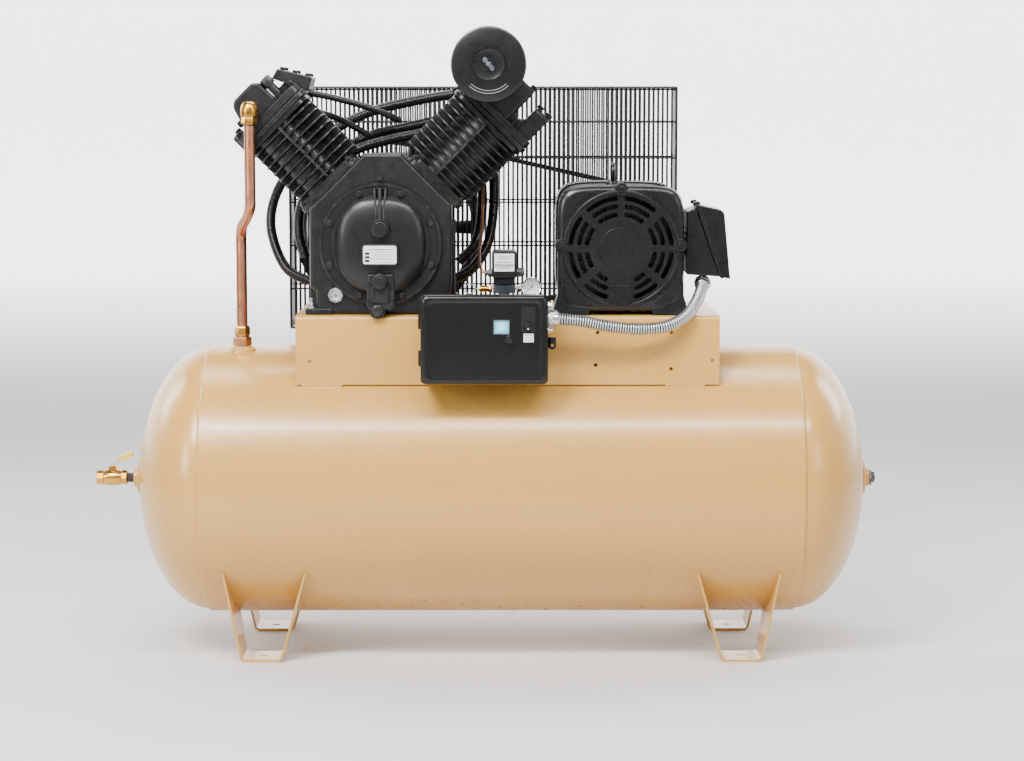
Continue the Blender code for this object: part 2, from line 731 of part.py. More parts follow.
# ---- intake filter ------------------------------------------------------------------------------
def intake_filter():
    """A round canister whose flat cover faces forward."""
    depth = FILTER_BACK - FILTER_FRONT
    body = [
        (FILTER_R - 0.004, depth - 0.009),
        (FILTER_R - 0.004, 0.004),
        (FILTER_R - 0.01, 0.0),
        (0, 0.0),
        (0, 0.003),
        (FILTER_R - 0.01, 0.003),
        (FILTER_R - 0.007, depth - 0.009),
    ]
    centre = (FILTER_X, FILTER_BACK, FILTER_Z)
    canister = turned("filter_body", body, centre, (0, -1, 0), IRON, 24, ring=True)
    face = FIRST_Y - 0.09 - 2 * GAP
    spigot = (-0.04, FILTER_BACK - 0.001, 1.275), (-0.04, face, 1.275)
    join(canister, rod("filter_spigot", *spigot, 0.03, sides=16, cutter=True))
    paper = [
        (0.062, depth - 0.014),
        (0.062, 0.006),
        (0.036, 0.006),
        (0.036, depth - 0.014),
    ]
    turned("filter_element", paper, centre, (0, -1, 0), PAPER, 16, ring=True)
    cover = [
        (0, 0.0105),
        (0.012, 0.0105),
        (0.012, 0.006),
        (0.034, 0.006),
        (0.037, 0.004),
        (FILTER_R - 0.004, 0.004),
        (FILTER_R, 0.0),
        (FILTER_R, -0.008),
        (0, -0.008),
    ]
    turned("filter_cover", cover, (FILTER_X, FILTER_FRONT, FILTER_Z), (0, -1, 0), IRON, 24)


# ---- intercooler --------------------------------------------------------------------------------
def intercooler():
    outer = [
        (-0.09, 0.075, 1.263),
        (-0.19, 0.10, 1.247),
        (-0.295, 0.11, 1.222),
        (-0.38, 0.12, 1.182),
        (-0.45, 0.125, 1.128),
        (-0.51, 0.13, 1.055),
        (-0.535, 0.13, 0.985),
        (-0.53, 0.135, 0.92),
        (-0.5, 0.14, 0.855),
        (-0.45, 0.15, 0.825),
    ]
    tube("intercooler_outer", smooth_route(outer, 2), 0.0125, IRON)
    inner = [
        (-0.12, 0.085, 1.208),
        (-0.21, 0.095, 1.186),
        (-0.3, 0.095, 1.166),
        (-0.375, 0.095, 1.125),
        (-0.43, 0.095, 1.07),
        (-0.463, 0.095, 1.0),
        (-0.468, 0.1, 0.94),
        (-0.455, 0.11, 0.885),
    ]
    tube("intercooler_inner", smooth_route(inner, 2), 0.0125, IRON)


# ---- drive --------------------------------------------------------------------------------------
def grooved_rim(radius, inner, half):
    """Outer profile of a rim with one groove for each belt, closed on the inside."""
    profile = [(radius, half)]
    for station in (BELT_PITCH / 2, -BELT_PITCH / 2):
        wide = BELT_WIDTH / 2 + 0.001
        narrow = wide - 0.003
        profile += [(radius, station + wide), (radius - GROOVE, station + narrow)]
        profile += [(radius - GROOVE, station - narrow), (radius, station - wide)]
    profile += [(radius, -half), (inner, -half), (inner, half)]
    return profile


def flywheel():
    half = WHEEL_WIDTH / 2
    rim = grooved_rim(WHEEL_R, WHEEL_R - 0.024, half)
    centre = (CRANK_X, WHEEL_Y, CRANK_Z)
    wheel = turned("flywheel", rim, centre, (0, 1, 0), IRON, 28, ring=True)
    hub = [
        (0.045, 0.034),
        (0.045, -0.034),
        (SHAFT_R + GAP, -0.034),
        (SHAFT_R + GAP, 0.034),
    ]
    join(wheel, turned("wheel_hub", hub, centre, (0, 1, 0), None, 24, ring=True, cutter=True))
    for i in range(5):
        turn = Matrix.Rotation(math.tau * i / 5, 3, "Y")
        middle = Vector(centre)
        start = middle + turn @ Vector((0.036, 0, 0))
        end = middle + turn @ Vector((WHEEL_R - 0.012, 0, 0))
        join(wheel, rod(f"wheel_spoke_{i}", start, end, 0.014, sides=8, cutter=True))


def motor_pulley():
    half = WHEEL_WIDTH / 2
    rim = grooved_rim(PULLEY_R, MOTOR_SHAFT_R + GAP, half)
    turned("motor_pulley", rim, (MOTOR_X, WHEEL_Y, MOTOR_Z), (0, 1, 0), IRON, 20, ring=True)


def belt_outline(extra):
    """The loop round both wheels, at a height above the bottoms of their grooves."""
    big = WHEEL_R - GROOVE + extra
    small = PULLEY_R - GROOVE + extra
    run = Vector((MOTOR_X - CRANK_X, MOTOR_Z - CRANK_Z))
    lean = math.degrees(math.atan2(run.y, run.x))
    open_angle = math.degrees(math.acos((big - small) / run.length))
    loop = arc(CRANK_X, CRANK_Z, big, lean + open_angle, lean + 360 - open_angle, 22)
    loop += arc(MOTOR_X, MOTOR_Z, small, lean - open_angle, lean + open_angle, 12)
    return loop


def drive_belts():
    for name, offset in (("drive_belt_front", -0.5), ("drive_belt_rear", 0.5)):
        y = WHEEL_Y + offset * BELT_PITCH
        width = BELT_WIDTH / 2 - 0.003
        low = 0.0022
        plate(name, belt_outline(low + BELT_THICK), y - width, y + width, "Y", RUBBER,
              holes=[belt_outline(low)])


# ---- belt guard ---------------------------------------------------------------------------------
def grille_holes(low_gap):
    """Openings of a grille between its bars, leaving a solid disc round each shaft."""
    columns, rows = 9, 3
    margin, bar = 0.012, 0.012
    wide = (GUARD_RIGHT - GUARD_LEFT - 2 * margin - (columns - 1) * bar) / columns
    tall = (GUARD_HIGH - GUARD_LOW - 2 * margin - (rows - 1) * bar) / rows
    holes = []
    for i in range(columns):
        left = GUARD_LEFT + margin + i * (wide + bar)
        for k in range(rows):
            low = GUARD_LOW + margin + k * (tall + bar)
            if low_gap and blocks_shaft(left, low, left + wide, low + tall):
                continue
            holes.append([(left, low), (left + wide, low), (left + wide, low + tall),
                          (left, low + tall)])
    return holes


def blocks_shaft(left, low, right, high):
    """True where a box lies over one of the two shaft holes."""
    for x, z in ((CRANK_X, CRANK_Z), (MOTOR_X, MOTOR_Z)):
        near_x = min(max(x, left), right)
        near_z = min(max(z, low), high)
        if math.hypot(near_x - x, near_z - z) < 0.062:
            return True
    return False


def guard_loop(inset):
    left, right = GUARD_LEFT + inset, GUARD_RIGHT - inset
    low, high = GUARD_LOW + inset, GUARD_HIGH - inset
    return [(left, low), (right, low), (right, high), (left, high)]


def guard():
    edge = guard_loop(0.0)
    holes = grille_holes(True)
    holes.append(circle(CRANK_X, CRANK_Z, 0.052, 20))
    holes.append(circle(MOTOR_X, MOTOR_Z, 0.04, 20))
    half = GUARD_SHEET / 2
    plate("guard_front", edge, GUARD_FRONT - half, GUARD_FRONT + half, "Y", WIRE, holes=holes)
    plate("guard_rear", edge, GUARD_BACK - half, GUARD_BACK + half, "Y", WIRE,
          holes=grille_holes(False))
    plate("guard_rim", guard_loop(0.001), GUARD_FRONT + half + GAP, GUARD_BACK - half - GAP, "Y",
          WIRE, holes=[guard_loop(0.005)])


# ---- motor --------------------------------------------------------------------------------------
def motor_square(half, radius, count=4):
    return rounded(MOTOR_X - half, MOTOR_Z - half, MOTOR_X + half, MOTOR_Z + half, radius, count)


def motor():
    inside = circle(MOTOR_X, MOTOR_Z, MOTOR_HALF - 0.02, 28)
    front, back = MOTOR_FRONT + BELL_DEPTH, MOTOR_BACK - BELL_DEPTH
    frame = plate("motor_frame", motor_square(MOTOR_HALF - 0.008, 0.048), front + GAP, back - GAP,
                  "Y", IRON, holes=[inside])
    base = BASE_TOP + GAP
    for side in (-1, 1):
        x = sorted((MOTOR_X + side * 0.07, MOTOR_X + side * 0.135))
        rail = (x[0], front + 0.01, base), (x[1], back - 0.01, MOTOR_Z - 0.108)
        join(frame, box(f"motor_foot_{side + 1}", *rail, cutter=True))
    cut(frame, rod("motor_inside", (MOTOR_X, -0.3, MOTOR_Z), (MOTOR_X, 0.3, MOTOR_Z),
                   MOTOR_HALF - 0.021, sides=28, cutter=True))
    bell("motor_bell_front", MOTOR_FRONT, front, MOTOR_FRONT, True)
    bell("motor_bell_rear", back, MOTOR_BACK, MOTOR_BACK, False)
    motor_rotor(front, back)


def bell(name, low, high, outside, vents):
    """An end bell: a rounded square cup with a bearing hole, and vents in the front one."""
    cup = plate(name, motor_square(MOTOR_HALF, 0.052), low, high, "Y", IRON)
    edge = cup.modifiers.new("edges", "BEVEL")
    edge.width = 0.014
    edge.segments = 2
    edge.limit_method = "ANGLE"
    edge.angle_limit = math.radians(60)
    inner = -1 if outside == low else 1
    depth = 0.012
    hollow = sorted((outside - inner * depth, outside - inner * 0.2))
    start, end = (MOTOR_X, hollow[0], MOTOR_Z), (MOTOR_X, hollow[1], MOTOR_Z)
    cut(cup, rod(name + "_hollow", start, end, MOTOR_HALF - 0.02, sides=20, cutter=True))
    if not vents:
        shaft = (MOTOR_X, low - 0.05, MOTOR_Z), (MOTOR_X, high + 0.05, MOTOR_Z)
        cut(cup, rod(name + "_bearing", *shaft, MOTOR_SHAFT_R + 0.002, sides=16, cutter=True))
        return
    for i in range(8):
        middle = 22.5 + 45 * i
        if 260 < middle < 280:
            continue
        slot = arc(MOTOR_X, MOTOR_Z, 0.112, middle - 15, middle + 15, 3)
        slot += arc(MOTOR_X, MOTOR_Z, 0.066, middle + 13, middle - 13, 3)
        cut(cup, plate(f"{name}_vent_{i}", slot, low - 0.01, low + 0.03, "Y", cutter=True))


def motor_rotor(front, back):
    """The shaft with the rotor's core on it, running from bell to pulley."""
    start, end = (MOTOR_X, MOTOR_FRONT + 0.016, MOTOR_Z), (MOTOR_X, WHEEL_Y + 0.042, MOTOR_Z)
    shaft = rod("motor_rotor", start, end, MOTOR_SHAFT_R, STEEL, sides=16)
    core = (MOTOR_X, front + 0.01, MOTOR_Z), (MOTOR_X, back - 0.01, MOTOR_Z)
    join(shaft, rod("rotor_core", *core, 0.085, sides=20, cutter=True))


def conduit():
    """The motor's wiring box, and the flexible conduit to the control box."""
    outline = [
        (0.411, 0.862),
        (0.506, 0.851),
        (0.509, 0.87),
        (0.503, 0.985),
        (0.49, 1.003),
        (0.43, 1.018),
        (0.411, 1.012),
    ]
    wiring = plate("conduit_box", outline, -0.155, -0.035, "Y", IRON)
    edge = wiring.modifiers.new("edges", "BEVEL")
    edge.width = 0.007
    edge.segments = 2
    route = [
        (0.1015, -0.262, 0.775),
        (0.13, -0.263, 0.773),
        (0.18, -0.262, 0.768),
        (0.235, -0.258, 0.757),
        (0.3, -0.252, 0.751),
        (0.36, -0.24, 0.755),
        (0.405, -0.215, 0.775),
        (0.43, -0.185, 0.803),
        (0.444, -0.15, 0.829),
        (0.449, -0.125, 0.847),
    ]
    tube("flex_conduit", smooth_route(route, 3), 0.0138, STEEL)
    cut(wiring, box("conduit_entry", (0.42, -0.17, 0.8), (0.48, -0.1, 0.864), cutter=True))


# ---- control box --------------------------------------------------------------------------------
def control_box():
    """A pressed steel box with its open face forward, closed by a hinged door."""
    back = -BASE_HALF - GAP
    front = BOX_FRONT + DOOR_THICK + GAP
    case = box("control_box", (BOX_LEFT + 0.003, front, BOX_LOW + 0.003),
               (BOX_RIGHT - 0.003, back, BOX_HIGH - 0.003), IRON)
    inside = box("control_inside", (BOX_LEFT + 0.006, front - 0.05, BOX_LOW + 0.006),
                 (BOX_RIGHT - 0.006, back - 0.004, BOX_HIGH - 0.006), cutter=True)
    cut(case, inside)
    door = box("control_door", (BOX_LEFT, BOX_FRONT, BOX_LOW),
               (BOX_RIGHT, BOX_FRONT + DOOR_THICK, BOX_HIGH), IRON, bevel=0.006, segments=2)
    pan = box("door_pan", (BOX_LEFT + 0.006, BOX_FRONT + 0.004, BOX_LOW + 0.006),
              (BOX_RIGHT - 0.006, BOX_FRONT + 0.06, BOX_HIGH - 0.006), cutter=True)
    cut(door, pan)
    selector_knob(door)
    reset_button(door)


def selector_knob(door):
    """A round knob on a shaft that turns in a hole in the door."""
    x, z, radius = 0.0575, 0.763, 0.0085
    shaft = radius * 0.55
    hole = (x, BOX_FRONT - 0.01, z), (x, BOX_FRONT + 0.02, z)
    cut(door, rod("knob_hole", *hole, shaft + GAP, sides=16, cutter=True))
    face = BOX_FRONT - 0.0006
    knob = rod("selector_knob", (x, face, z), (x, face - 0.009, z), radius, PLASTIC, sides=16)
    stem = (x, face - 0.001, z), (x, BOX_FRONT + 0.014, z)
    join(knob, rod("knob_shaft", *stem, shaft, sides=12, cutter=True))


def reset_button(door):
    """A push button that slides in a hole in the door, kept in by a collar behind it."""
    x, z, radius = 0.0155, 0.7345, 0.008
    hole = (x, BOX_FRONT - 0.01, z), (x, BOX_FRONT + 0.02, z)
    cut(door, rod("button_hole", *hole, radius + GAP, sides=24, cutter=True))
    start, end = (x, BOX_FRONT - 0.0072, z), (x, BOX_FRONT + 0.0055, z)
    button = rod("reset_button", start, end, radius, PLASTIC, sides=24)
    collar = (x, BOX_FRONT + 0.0044, z), (x, BOX_FRONT + 0.0064, z)
    join(button, rod("button_collar", *collar, radius + 0.002, sides=24, cutter=True))


# ---- pressure switch group ----------------------------------------------------------------------
def gauge_point(along, across):
    """A point of the needle, which rests on the zero mark at the dial's lower left."""
    slope = math.sqrt(0.5)
    return GAUGE_X + slope * (across - along), GAUGE_Z - slope * (along + across)


def pressure_controls():
    x, y = SWITCH_X, SWITCH_Y
    base = BASE_TOP + GAP
    riser = rod("manifold", (x, y, base), (x, y, 0.842), 0.0075, BRASS, sides=12)
    join(riser, box("manifold_block", (x - 0.026, y - 0.011, 0.822), (x + 0.026, y + 0.011, 0.84),
                    cutter=True))
    box("pressure_switch", (x - 0.028, y - 0.032, 0.8425), (x + 0.028, y + 0.032, 0.917), PLASTIC,
        bevel=0.004, segments=2)
    gauge_y = y - 0.012
    case = [
        (GAUGE_R, 0.022),
        (GAUGE_R, 0.0),
        (0, 0.0),
        (0, 0.006),
        (GAUGE_R - 0.0025, 0.006),
        (GAUGE_R - 0.0025, 0.022),
    ]
    gauge = turned("pressure_gauge", case, (GAUGE_X, gauge_y, GAUGE_Z), (0, -1, 0), STEEL, 24,
                   ring=True)
    stub = (x + 0.0265, y + 0.002, 0.831), (GAUGE_X, y + 0.002, 0.831)
    join(gauge, rod("gauge_stub", *stub, 0.0045, sides=10, cutter=True))
    join(gauge, rod("gauge_back", (GAUGE_X, gauge_y - 0.002, 0.831), (GAUGE_X, y + 0.005, 0.831),
                    0.007, sides=10, cutter=True))
    needle = [gauge_point(*p) for p in ((-0.0045, -0.0035), (-0.0045, 0.0035), (0.014, 0.0006),
                                        (0.014, -0.0006))]
    face = gauge_y - 0.0075
    plate("gauge_needle", needle, face - 0.0012, face, "Y", PLASTIC)
    safety_valve(x - 0.0265, y)


def safety_valve(start, y):
    """A relief valve on the manifold's end, with its test ring on a short pin."""
    z = 0.831
    relief = [(0.003, 0.03), (0.0065, 0.028), (0.0065, 0.01), (0.0085, 0.008), (0.0085, 0.0),
              (0.0028, 0.0), (0.0028, 0.02), (0.003, 0.02)]
    turned("safety_valve", relief, (start, y, z), (-1, 0, 0), BRASS, 12, ring=True)
    pin = rod("safety_ring", (start - 0.016, y, z), (start - 0.04, y, z), 0.0022, STEEL, sides=8)
    ring = circle(start - 0.05, z, 0.0125, 16)
    join(pin, plate("ring_band", ring, y - 0.0012, y + 0.0012, "Y", cutter=True,
                    holes=[circle(start - 0.05, z, 0.0098, 16)]))


def build():
    tank_shell()
    tank_port(tank_head("tank_head_left", -1), -1)
    tank_port(tank_head("tank_head_right", 1), 1)
    for side, x_name in ((-1, "left"), (1, "right")):
        for front, y_name in ((-1, "front"), (1, "rear")):
            foot(f"foot_{y_name}_{x_name}", side, front)
    base_platform()
    outlet_valve()
    pipe_plug()
    discharge_line()
    crankcase()
    front_cover()
    rear_bearing_cover()
    crankshaft()
    cylinder("cylinder_second", -1, SECOND_Y, SECOND_BORE, SECOND_FIN_R, SECOND_DECK, SECOND_TOP)
    cylinder("cylinder_first", 1, FIRST_Y, FIRST_BORE, FIRST_FIN_R, FIRST_DECK, FIRST_TOP)
    cylinder_head("head_second", -1, SECOND_Y, SECOND_TOP, 0.15, 0.15, 0.075)
    cylinder_head("head_first", 1, FIRST_Y, FIRST_TOP, 0.18, 0.18, 0.095)
    stages = (
        (-1, "second", SECOND_Y, SECOND_BORE, SECOND_TOP),
        (1, "first", FIRST_Y, FIRST_BORE, FIRST_TOP),
    )
    for side, name, y, bore, top in stages:
        crown = piston(f"piston_{name}", side, y, bore, top)
        connecting_rod(f"rod_{name}", side, y, crown)
    oil_fittings()
    intake_filter()
    intercooler()
    flywheel()
    motor_pulley()
    drive_belts()
    guard()
    motor()
    conduit()
    control_box()
    pressure_controls()


build()
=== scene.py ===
"""The looks of the twin stack compressor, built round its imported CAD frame."""

import math

import bmesh
import bpy
from mathutils import Matrix, Vector
from mathutils.geometry import tessellate_polygon


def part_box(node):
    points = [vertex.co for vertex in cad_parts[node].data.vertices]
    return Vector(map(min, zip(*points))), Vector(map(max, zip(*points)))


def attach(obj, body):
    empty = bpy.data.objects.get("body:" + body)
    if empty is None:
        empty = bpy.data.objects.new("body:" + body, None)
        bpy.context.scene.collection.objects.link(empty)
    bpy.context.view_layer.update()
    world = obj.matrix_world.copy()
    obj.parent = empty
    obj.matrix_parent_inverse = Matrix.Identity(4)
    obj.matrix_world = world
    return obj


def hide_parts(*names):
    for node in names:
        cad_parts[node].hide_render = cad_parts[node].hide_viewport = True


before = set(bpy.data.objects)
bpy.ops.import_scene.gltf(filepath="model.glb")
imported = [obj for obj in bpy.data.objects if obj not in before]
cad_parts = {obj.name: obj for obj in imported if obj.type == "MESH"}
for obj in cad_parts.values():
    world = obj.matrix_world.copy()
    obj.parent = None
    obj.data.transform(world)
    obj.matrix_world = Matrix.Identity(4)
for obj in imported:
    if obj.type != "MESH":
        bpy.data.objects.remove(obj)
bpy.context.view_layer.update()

# ---- places taken from the frame ----------------------------------------------------------------
# Everything below is measured from the tank's centre: SHIFT takes it to the row frame.
TANK_LOW, TANK_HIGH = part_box("tank_shell")
SHIFT = Vector(((TANK_LOW.x + TANK_HIGH.x) / 2, (TANK_LOW.y + TANK_HIGH.y) / 2, 0))


def low(node):
    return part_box(node)[0] - SHIFT


def high(node):
    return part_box(node)[1] - SHIFT


def middle(node):
    return (low(node) + high(node)) / 2


TANK_R = (TANK_HIGH.z - TANK_LOW.z) / 2
TANK_Z = (TANK_HIGH.z + TANK_LOW.z) / 2
SHELL_HALF = (TANK_HIGH.x - TANK_LOW.x) / 2
HEAD_FACE = high("tank_head_right").x - 0.017
CRANK = middle("flywheel")
MOTOR = middle("motor_pulley")
BASE = high("base_platform").z + 0.0004  # the pump, motor and manifold stand on this
SIDES = {"second": -1, "first": 1}
SLOPE = math.radians(45)


# ---- materials ----------------------------------------------------------------------------------
def node_tree(name):
    mat = bpy.data.materials.new(name)
    mat.use_nodes = True
    tree = mat.node_tree
    return mat, tree, tree.nodes["Principled BSDF"]


def noise(tree, scale, detail=3.0, rough=0.5, stretch=None):
    """Noise in object space, so its scale is in metres; stretch draws it out along an axis."""
    place = tree.nodes.new("ShaderNodeTexCoord")
    out = place.outputs["Object"]
    if stretch:
        mapping = tree.nodes.new("ShaderNodeMapping")
        mapping.inputs["Scale"].default_value = stretch
        tree.links.new(out, mapping.inputs["Vector"])
        out = mapping.outputs["Vector"]
    texture = tree.nodes.new("ShaderNodeTexNoise")
    texture.inputs["Scale"].default_value = scale
    texture.inputs["Detail"].default_value = detail
    texture.inputs["Roughness"].default_value = rough
    tree.links.new(out, texture.inputs["Vector"])
    return texture.outputs["Fac"]


def ramp(tree, source, stops):
    """A colour ramp from (position, colour) stops."""
    node = tree.nodes.new("ShaderNodeValToRGB")
    elements = node.color_ramp.elements
    elements[0].position, elements[0].color = stops[0][0], (*stops[0][1], 1)
    elements[1].position, elements[1].color = stops[-1][0], (*stops[-1][1], 1)
    for position, colour in stops[1:-1]:
        extra = elements.new(position)
        extra.color = (*colour, 1)
    tree.links.new(source, node.inputs["Fac"])
    return node.outputs["Color"]


def spread(tree, source, start, end):
    """Maps the middle of a noise to a range of values."""
    node = tree.nodes.new("ShaderNodeMapRange")
    node.inputs["From Min"].default_value = 0.3
    node.inputs["From Max"].default_value = 0.7
    node.inputs["To Min"].default_value = start
    node.inputs["To Max"].default_value = end
    tree.links.new(source, node.inputs["Value"])
    return node.outputs["Result"]


def mix(tree, factor, first, second, blend="MIX"):
    node = tree.nodes.new("ShaderNodeMix")
    node.data_type = "RGBA"
    node.blend_type = blend
    if isinstance(factor, float):
        node.inputs[0].default_value = factor
    else:
        tree.links.new(factor, node.inputs[0])
    for socket, value in ((node.inputs[6], first), (node.inputs[7], second)):
        if isinstance(value, tuple):
            socket.default_value = (*value, 1)
        else:
            tree.links.new(value, socket)
    return node.outputs[2]


def bump(tree, shader, layers):
    """Stacks bumps from (height source, strength, depth in metres) layers."""
    normal = None
    for height, strength, depth in layers:
        node = tree.nodes.new("ShaderNodeBump")
        node.inputs["Strength"].default_value = strength
        node.inputs["Distance"].default_value = depth
        tree.links.new(height, node.inputs["Height"])
        if normal is not None:
            tree.links.new(normal, node.inputs["Normal"])
        normal = node.outputs["Normal"]
    tree.links.new(normal, shader.inputs["Normal"])


def worn_edges(tree, colour, wear, amount):
    """Lightens sharp outside edges, broken up by noise."""
    shape = tree.nodes.new("ShaderNodeNewGeometry")
    edge = ramp(tree, shape.outputs["Pointiness"], [(0.51, (0, 0, 0)), (0.6, (1, 1, 1))])
    patch = ramp(tree, noise(tree, 90, 4), [(0.42, (0, 0, 0)), (0.62, (1, 1, 1))])
    mask = mix(tree, 1.0, edge, patch, "MULTIPLY")
    part = mix(tree, amount, (0.0, 0.0, 0.0), mask)
    return mix(tree, part, colour, wear)


def painted(name, dark, light, rough, coat=0.0, grain=(0.15, 0.0002, 900), peel=None, wear=None,
            gloss=0.5):
    """Painted metal: colour drift, a fine grain or orange peel, and rubbed edges."""
    mat, tree, shader = node_tree(name)
    colour = ramp(tree, noise(tree, 7, 5), [(0.3, dark), (0.7, light)])
    if wear:
        colour = worn_edges(tree, colour, wear[0], wear[1])
    tree.links.new(colour, shader.inputs["Base Color"])
    tree.links.new(spread(tree, noise(tree, 40, 4), rough * 0.85, rough * 1.15),
                   shader.inputs["Roughness"])
    layers = [(noise(tree, grain[2], 2), grain[0], grain[1])]
    if peel:
        layers.append((noise(tree, peel[2], 2, 0.4), peel[0], peel[1]))
    bump(tree, shader, layers)
    shader.inputs["Coat Weight"].default_value = coat
    shader.inputs["Coat Roughness"].default_value = 0.15
    shader.inputs["Specular IOR Level"].default_value = gloss
    return mat


def metal(name, dark, light, rough, grain=(0.12, 0.0002, 700), stretch=None, tarnish=None):
    mat, tree, shader = node_tree(name)
    colour = ramp(tree, noise(tree, 22, 5), [(0.3, dark), (0.7, light)])
    if tarnish:
        patch = ramp(tree, noise(tree, tarnish[1], 6), [(0.5, (0, 0, 0)), (0.68, (1, 1, 1))])
        colour = mix(tree, patch, colour, tarnish[0])
    tree.links.new(colour, shader.inputs["Base Color"])
    shader.inputs["Metallic"].default_value = 1.0
    tree.links.new(spread(tree, noise(tree, 60, 5), rough * 0.75, rough * 1.35),
                   shader.inputs["Roughness"])
    bump(tree, shader, [(noise(tree, grain[2], 3, 0.5, stretch), grain[0], grain[1])])
    return mat


def plastic(name, dark, light, rough, grain=(0.2, 0.0001, 1500)):
    mat, tree, shader = node_tree(name)
    tree.links.new(ramp(tree, noise(tree, 30, 3), [(0.3, dark), (0.7, light)]),
                   shader.inputs["Base Color"])
    tree.links.new(spread(tree, noise(tree, 120, 2), rough * 0.9, rough * 1.1),
                   shader.inputs["Roughness"])
    bump(tree, shader, [(noise(tree, grain[2], 2), grain[0], grain[1])])
    return mat


def spiral_steel_groove_shade(name):
    """Wound zinc strip with painted shade: near black in its grooves, by pointiness, and its own zinc colour
    on its ridges.
    """
    mat, tree, shader = node_tree(name)
    place = tree.nodes.new("ShaderNodeNewGeometry")
    # painted shade: the grooves are coloured near black where shade falls, the ridges keep the zinc colour
    stops = [(0.46, (0.05, 0.052, 0.055)), (0.53, (0.62, 0.64, 0.66))]
    tree.links.new(ramp(tree, place.outputs["Pointiness"], stops), shader.inputs["Base Color"])
    shader.inputs["Metallic"].default_value = 1.0
    tree.links.new(spread(tree, noise(tree, 90, 4), 0.28, 0.42), shader.inputs["Roughness"])
    bump(tree, shader, [(noise(tree, 600, 3), 0.12, 0.0002)])
    return mat


def glass(name):
    """A thin clear window: mostly see-through, with a faint film on it."""
    mat, tree, shader = node_tree(name)
    shader.inputs["Base Color"].default_value = (1, 1, 1, 1)
    tree.links.new(spread(tree, noise(tree, 90, 3), 0.08, 0.14), shader.inputs["Alpha"])
    tree.links.new(spread(tree, noise(tree, 200, 2), 0.02, 0.06), shader.inputs["Roughness"])
    bump(tree, shader, [(noise(tree, 300, 2), 0.02, 0.0001)])
    return mat


TAN = painted("tan_enamel", (0.575, 0.305, 0.062), (0.595, 0.32, 0.068), 0.3, 0.3,
              (0.05, 0.0002, 700), (0.12, 0.0006, 110))
IRON = painted("black_cast_iron", (0.0045, 0.0048, 0.0054), (0.0085, 0.009, 0.0098), 0.36, 0.12,
               (0.5, 0.0006, 420), (0.3, 0.001, 60), ((0.05, 0.05, 0.053), 0.5), gloss=0.33)
BLACK = painted("black_enamel", (0.004, 0.0043, 0.0048), (0.0075, 0.008, 0.0086), 0.3, 0.2,
                (0.2, 0.0003, 600), (0.15, 0.0008, 90), ((0.03, 0.03, 0.032), 0.12), gloss=0.32)
BOX_PAINT = painted("control_box_enamel", (0.0024, 0.0028, 0.0028), (0.0038, 0.0043, 0.0043), 0.34,
                    0.25, (0.1, 0.0002, 800), (0.18, 0.0006, 120), gloss=0.26)
WIRE = painted("guard_wire_coating", (0.006, 0.005, 0.0042), (0.012, 0.010, 0.008), 0.42, 0.1,
               (0.2, 0.0002, 900))
COPPER = metal("drawn_copper", (0.48, 0.19, 0.105), (0.60, 0.275, 0.165), 0.34,
               (0.12, 0.0002, 500), (1, 1, 0.05), ((0.36, 0.135, 0.075), 9))
BRASS = metal("machined_brass", (0.54, 0.27, 0.045), (0.72, 0.39, 0.08), 0.26)
BRONZE = metal("copper_nut", (0.46, 0.20, 0.10), (0.62, 0.30, 0.15), 0.33,
               (0.15, 0.0002, 900), None, ((0.25, 0.11, 0.06), 70))
STEEL = metal("zinc_plate", (0.52, 0.53, 0.55), (0.68, 0.69, 0.71), 0.3,
              (0.15, 0.0002, 800), None, ((0.36, 0.37, 0.38), 80))
TURNED = metal("turned_steel", (0.42, 0.42, 0.43), (0.56, 0.56, 0.57), 0.3,
               (0.3, 0.0002, 300), (1, 12, 1))
GREY_METAL = metal("plated_manifold", (0.20, 0.24, 0.28), (0.32, 0.36, 0.41), 0.33)
CHROME = metal("chrome_plate", (0.72, 0.72, 0.73), (0.8, 0.8, 0.81), 0.12, (0.04, 0.0001, 400))
ALLOY = metal("piston_alloy", (0.6, 0.61, 0.62), (0.7, 0.71, 0.72), 0.35, (0.3, 0.0002, 400))
PIPE = painted("black_pipe", (0.03, 0.026, 0.022), (0.06, 0.052, 0.044), 0.4, 0.1,
               (0.4, 0.0003, 500), None, ((0.25, 0.22, 0.2), 0.6))
SPIRAL = spiral_steel_groove_shade("wound_steel_groove_shade")
RUBBER = plastic("belt_rubber", (0.006, 0.006, 0.006), (0.013, 0.0125, 0.012), 0.7,
                 (0.5, 0.0004, 900))
PLASTIC = plastic("black_plastic", (0.005, 0.005, 0.0055), (0.008, 0.008, 0.0085), 0.32)
VINYL = plastic("yellow_vinyl", (0.72, 0.46, 0.02), (0.85, 0.58, 0.04), 0.4)
PAPER = plastic("filter_paper", (0.5, 0.36, 0.2), (0.62, 0.46, 0.28), 0.9, (0.6, 0.0005, 500))
WHITE = plastic("white_print", (0.74, 0.74, 0.72), (0.82, 0.82, 0.8), 0.45)
BLUE = plastic("pale_blue_plate", (0.10, 0.52, 0.72), (0.16, 0.60, 0.80), 0.35)
PALE = plastic("pale_blue_lens", (0.36, 0.75, 0.88), (0.45, 0.82, 0.92), 0.3)
GREY = plastic("grey_print", (0.28, 0.29, 0.3), (0.36, 0.37, 0.38), 0.45)
INK = plastic("black_print", (0.01, 0.01, 0.01), (0.016, 0.016, 0.016), 0.5)
LENS = glass("clear_lens")
DARK = plastic("inner_dark", (0.004, 0.004, 0.004), (0.008, 0.008, 0.008), 0.7)


# ---- making shapes ------------------------------------------------------------------------------
def turn_to(direction):
    return Vector(direction).to_track_quat("Z", "Y").to_matrix()


def across(axis, station, a, b):
    """The point at a station along an axis, from its two other coordinates."""
    return {"X": (station, a, b), "Y": (a, station, b), "Z": (a, b, station)}[axis]


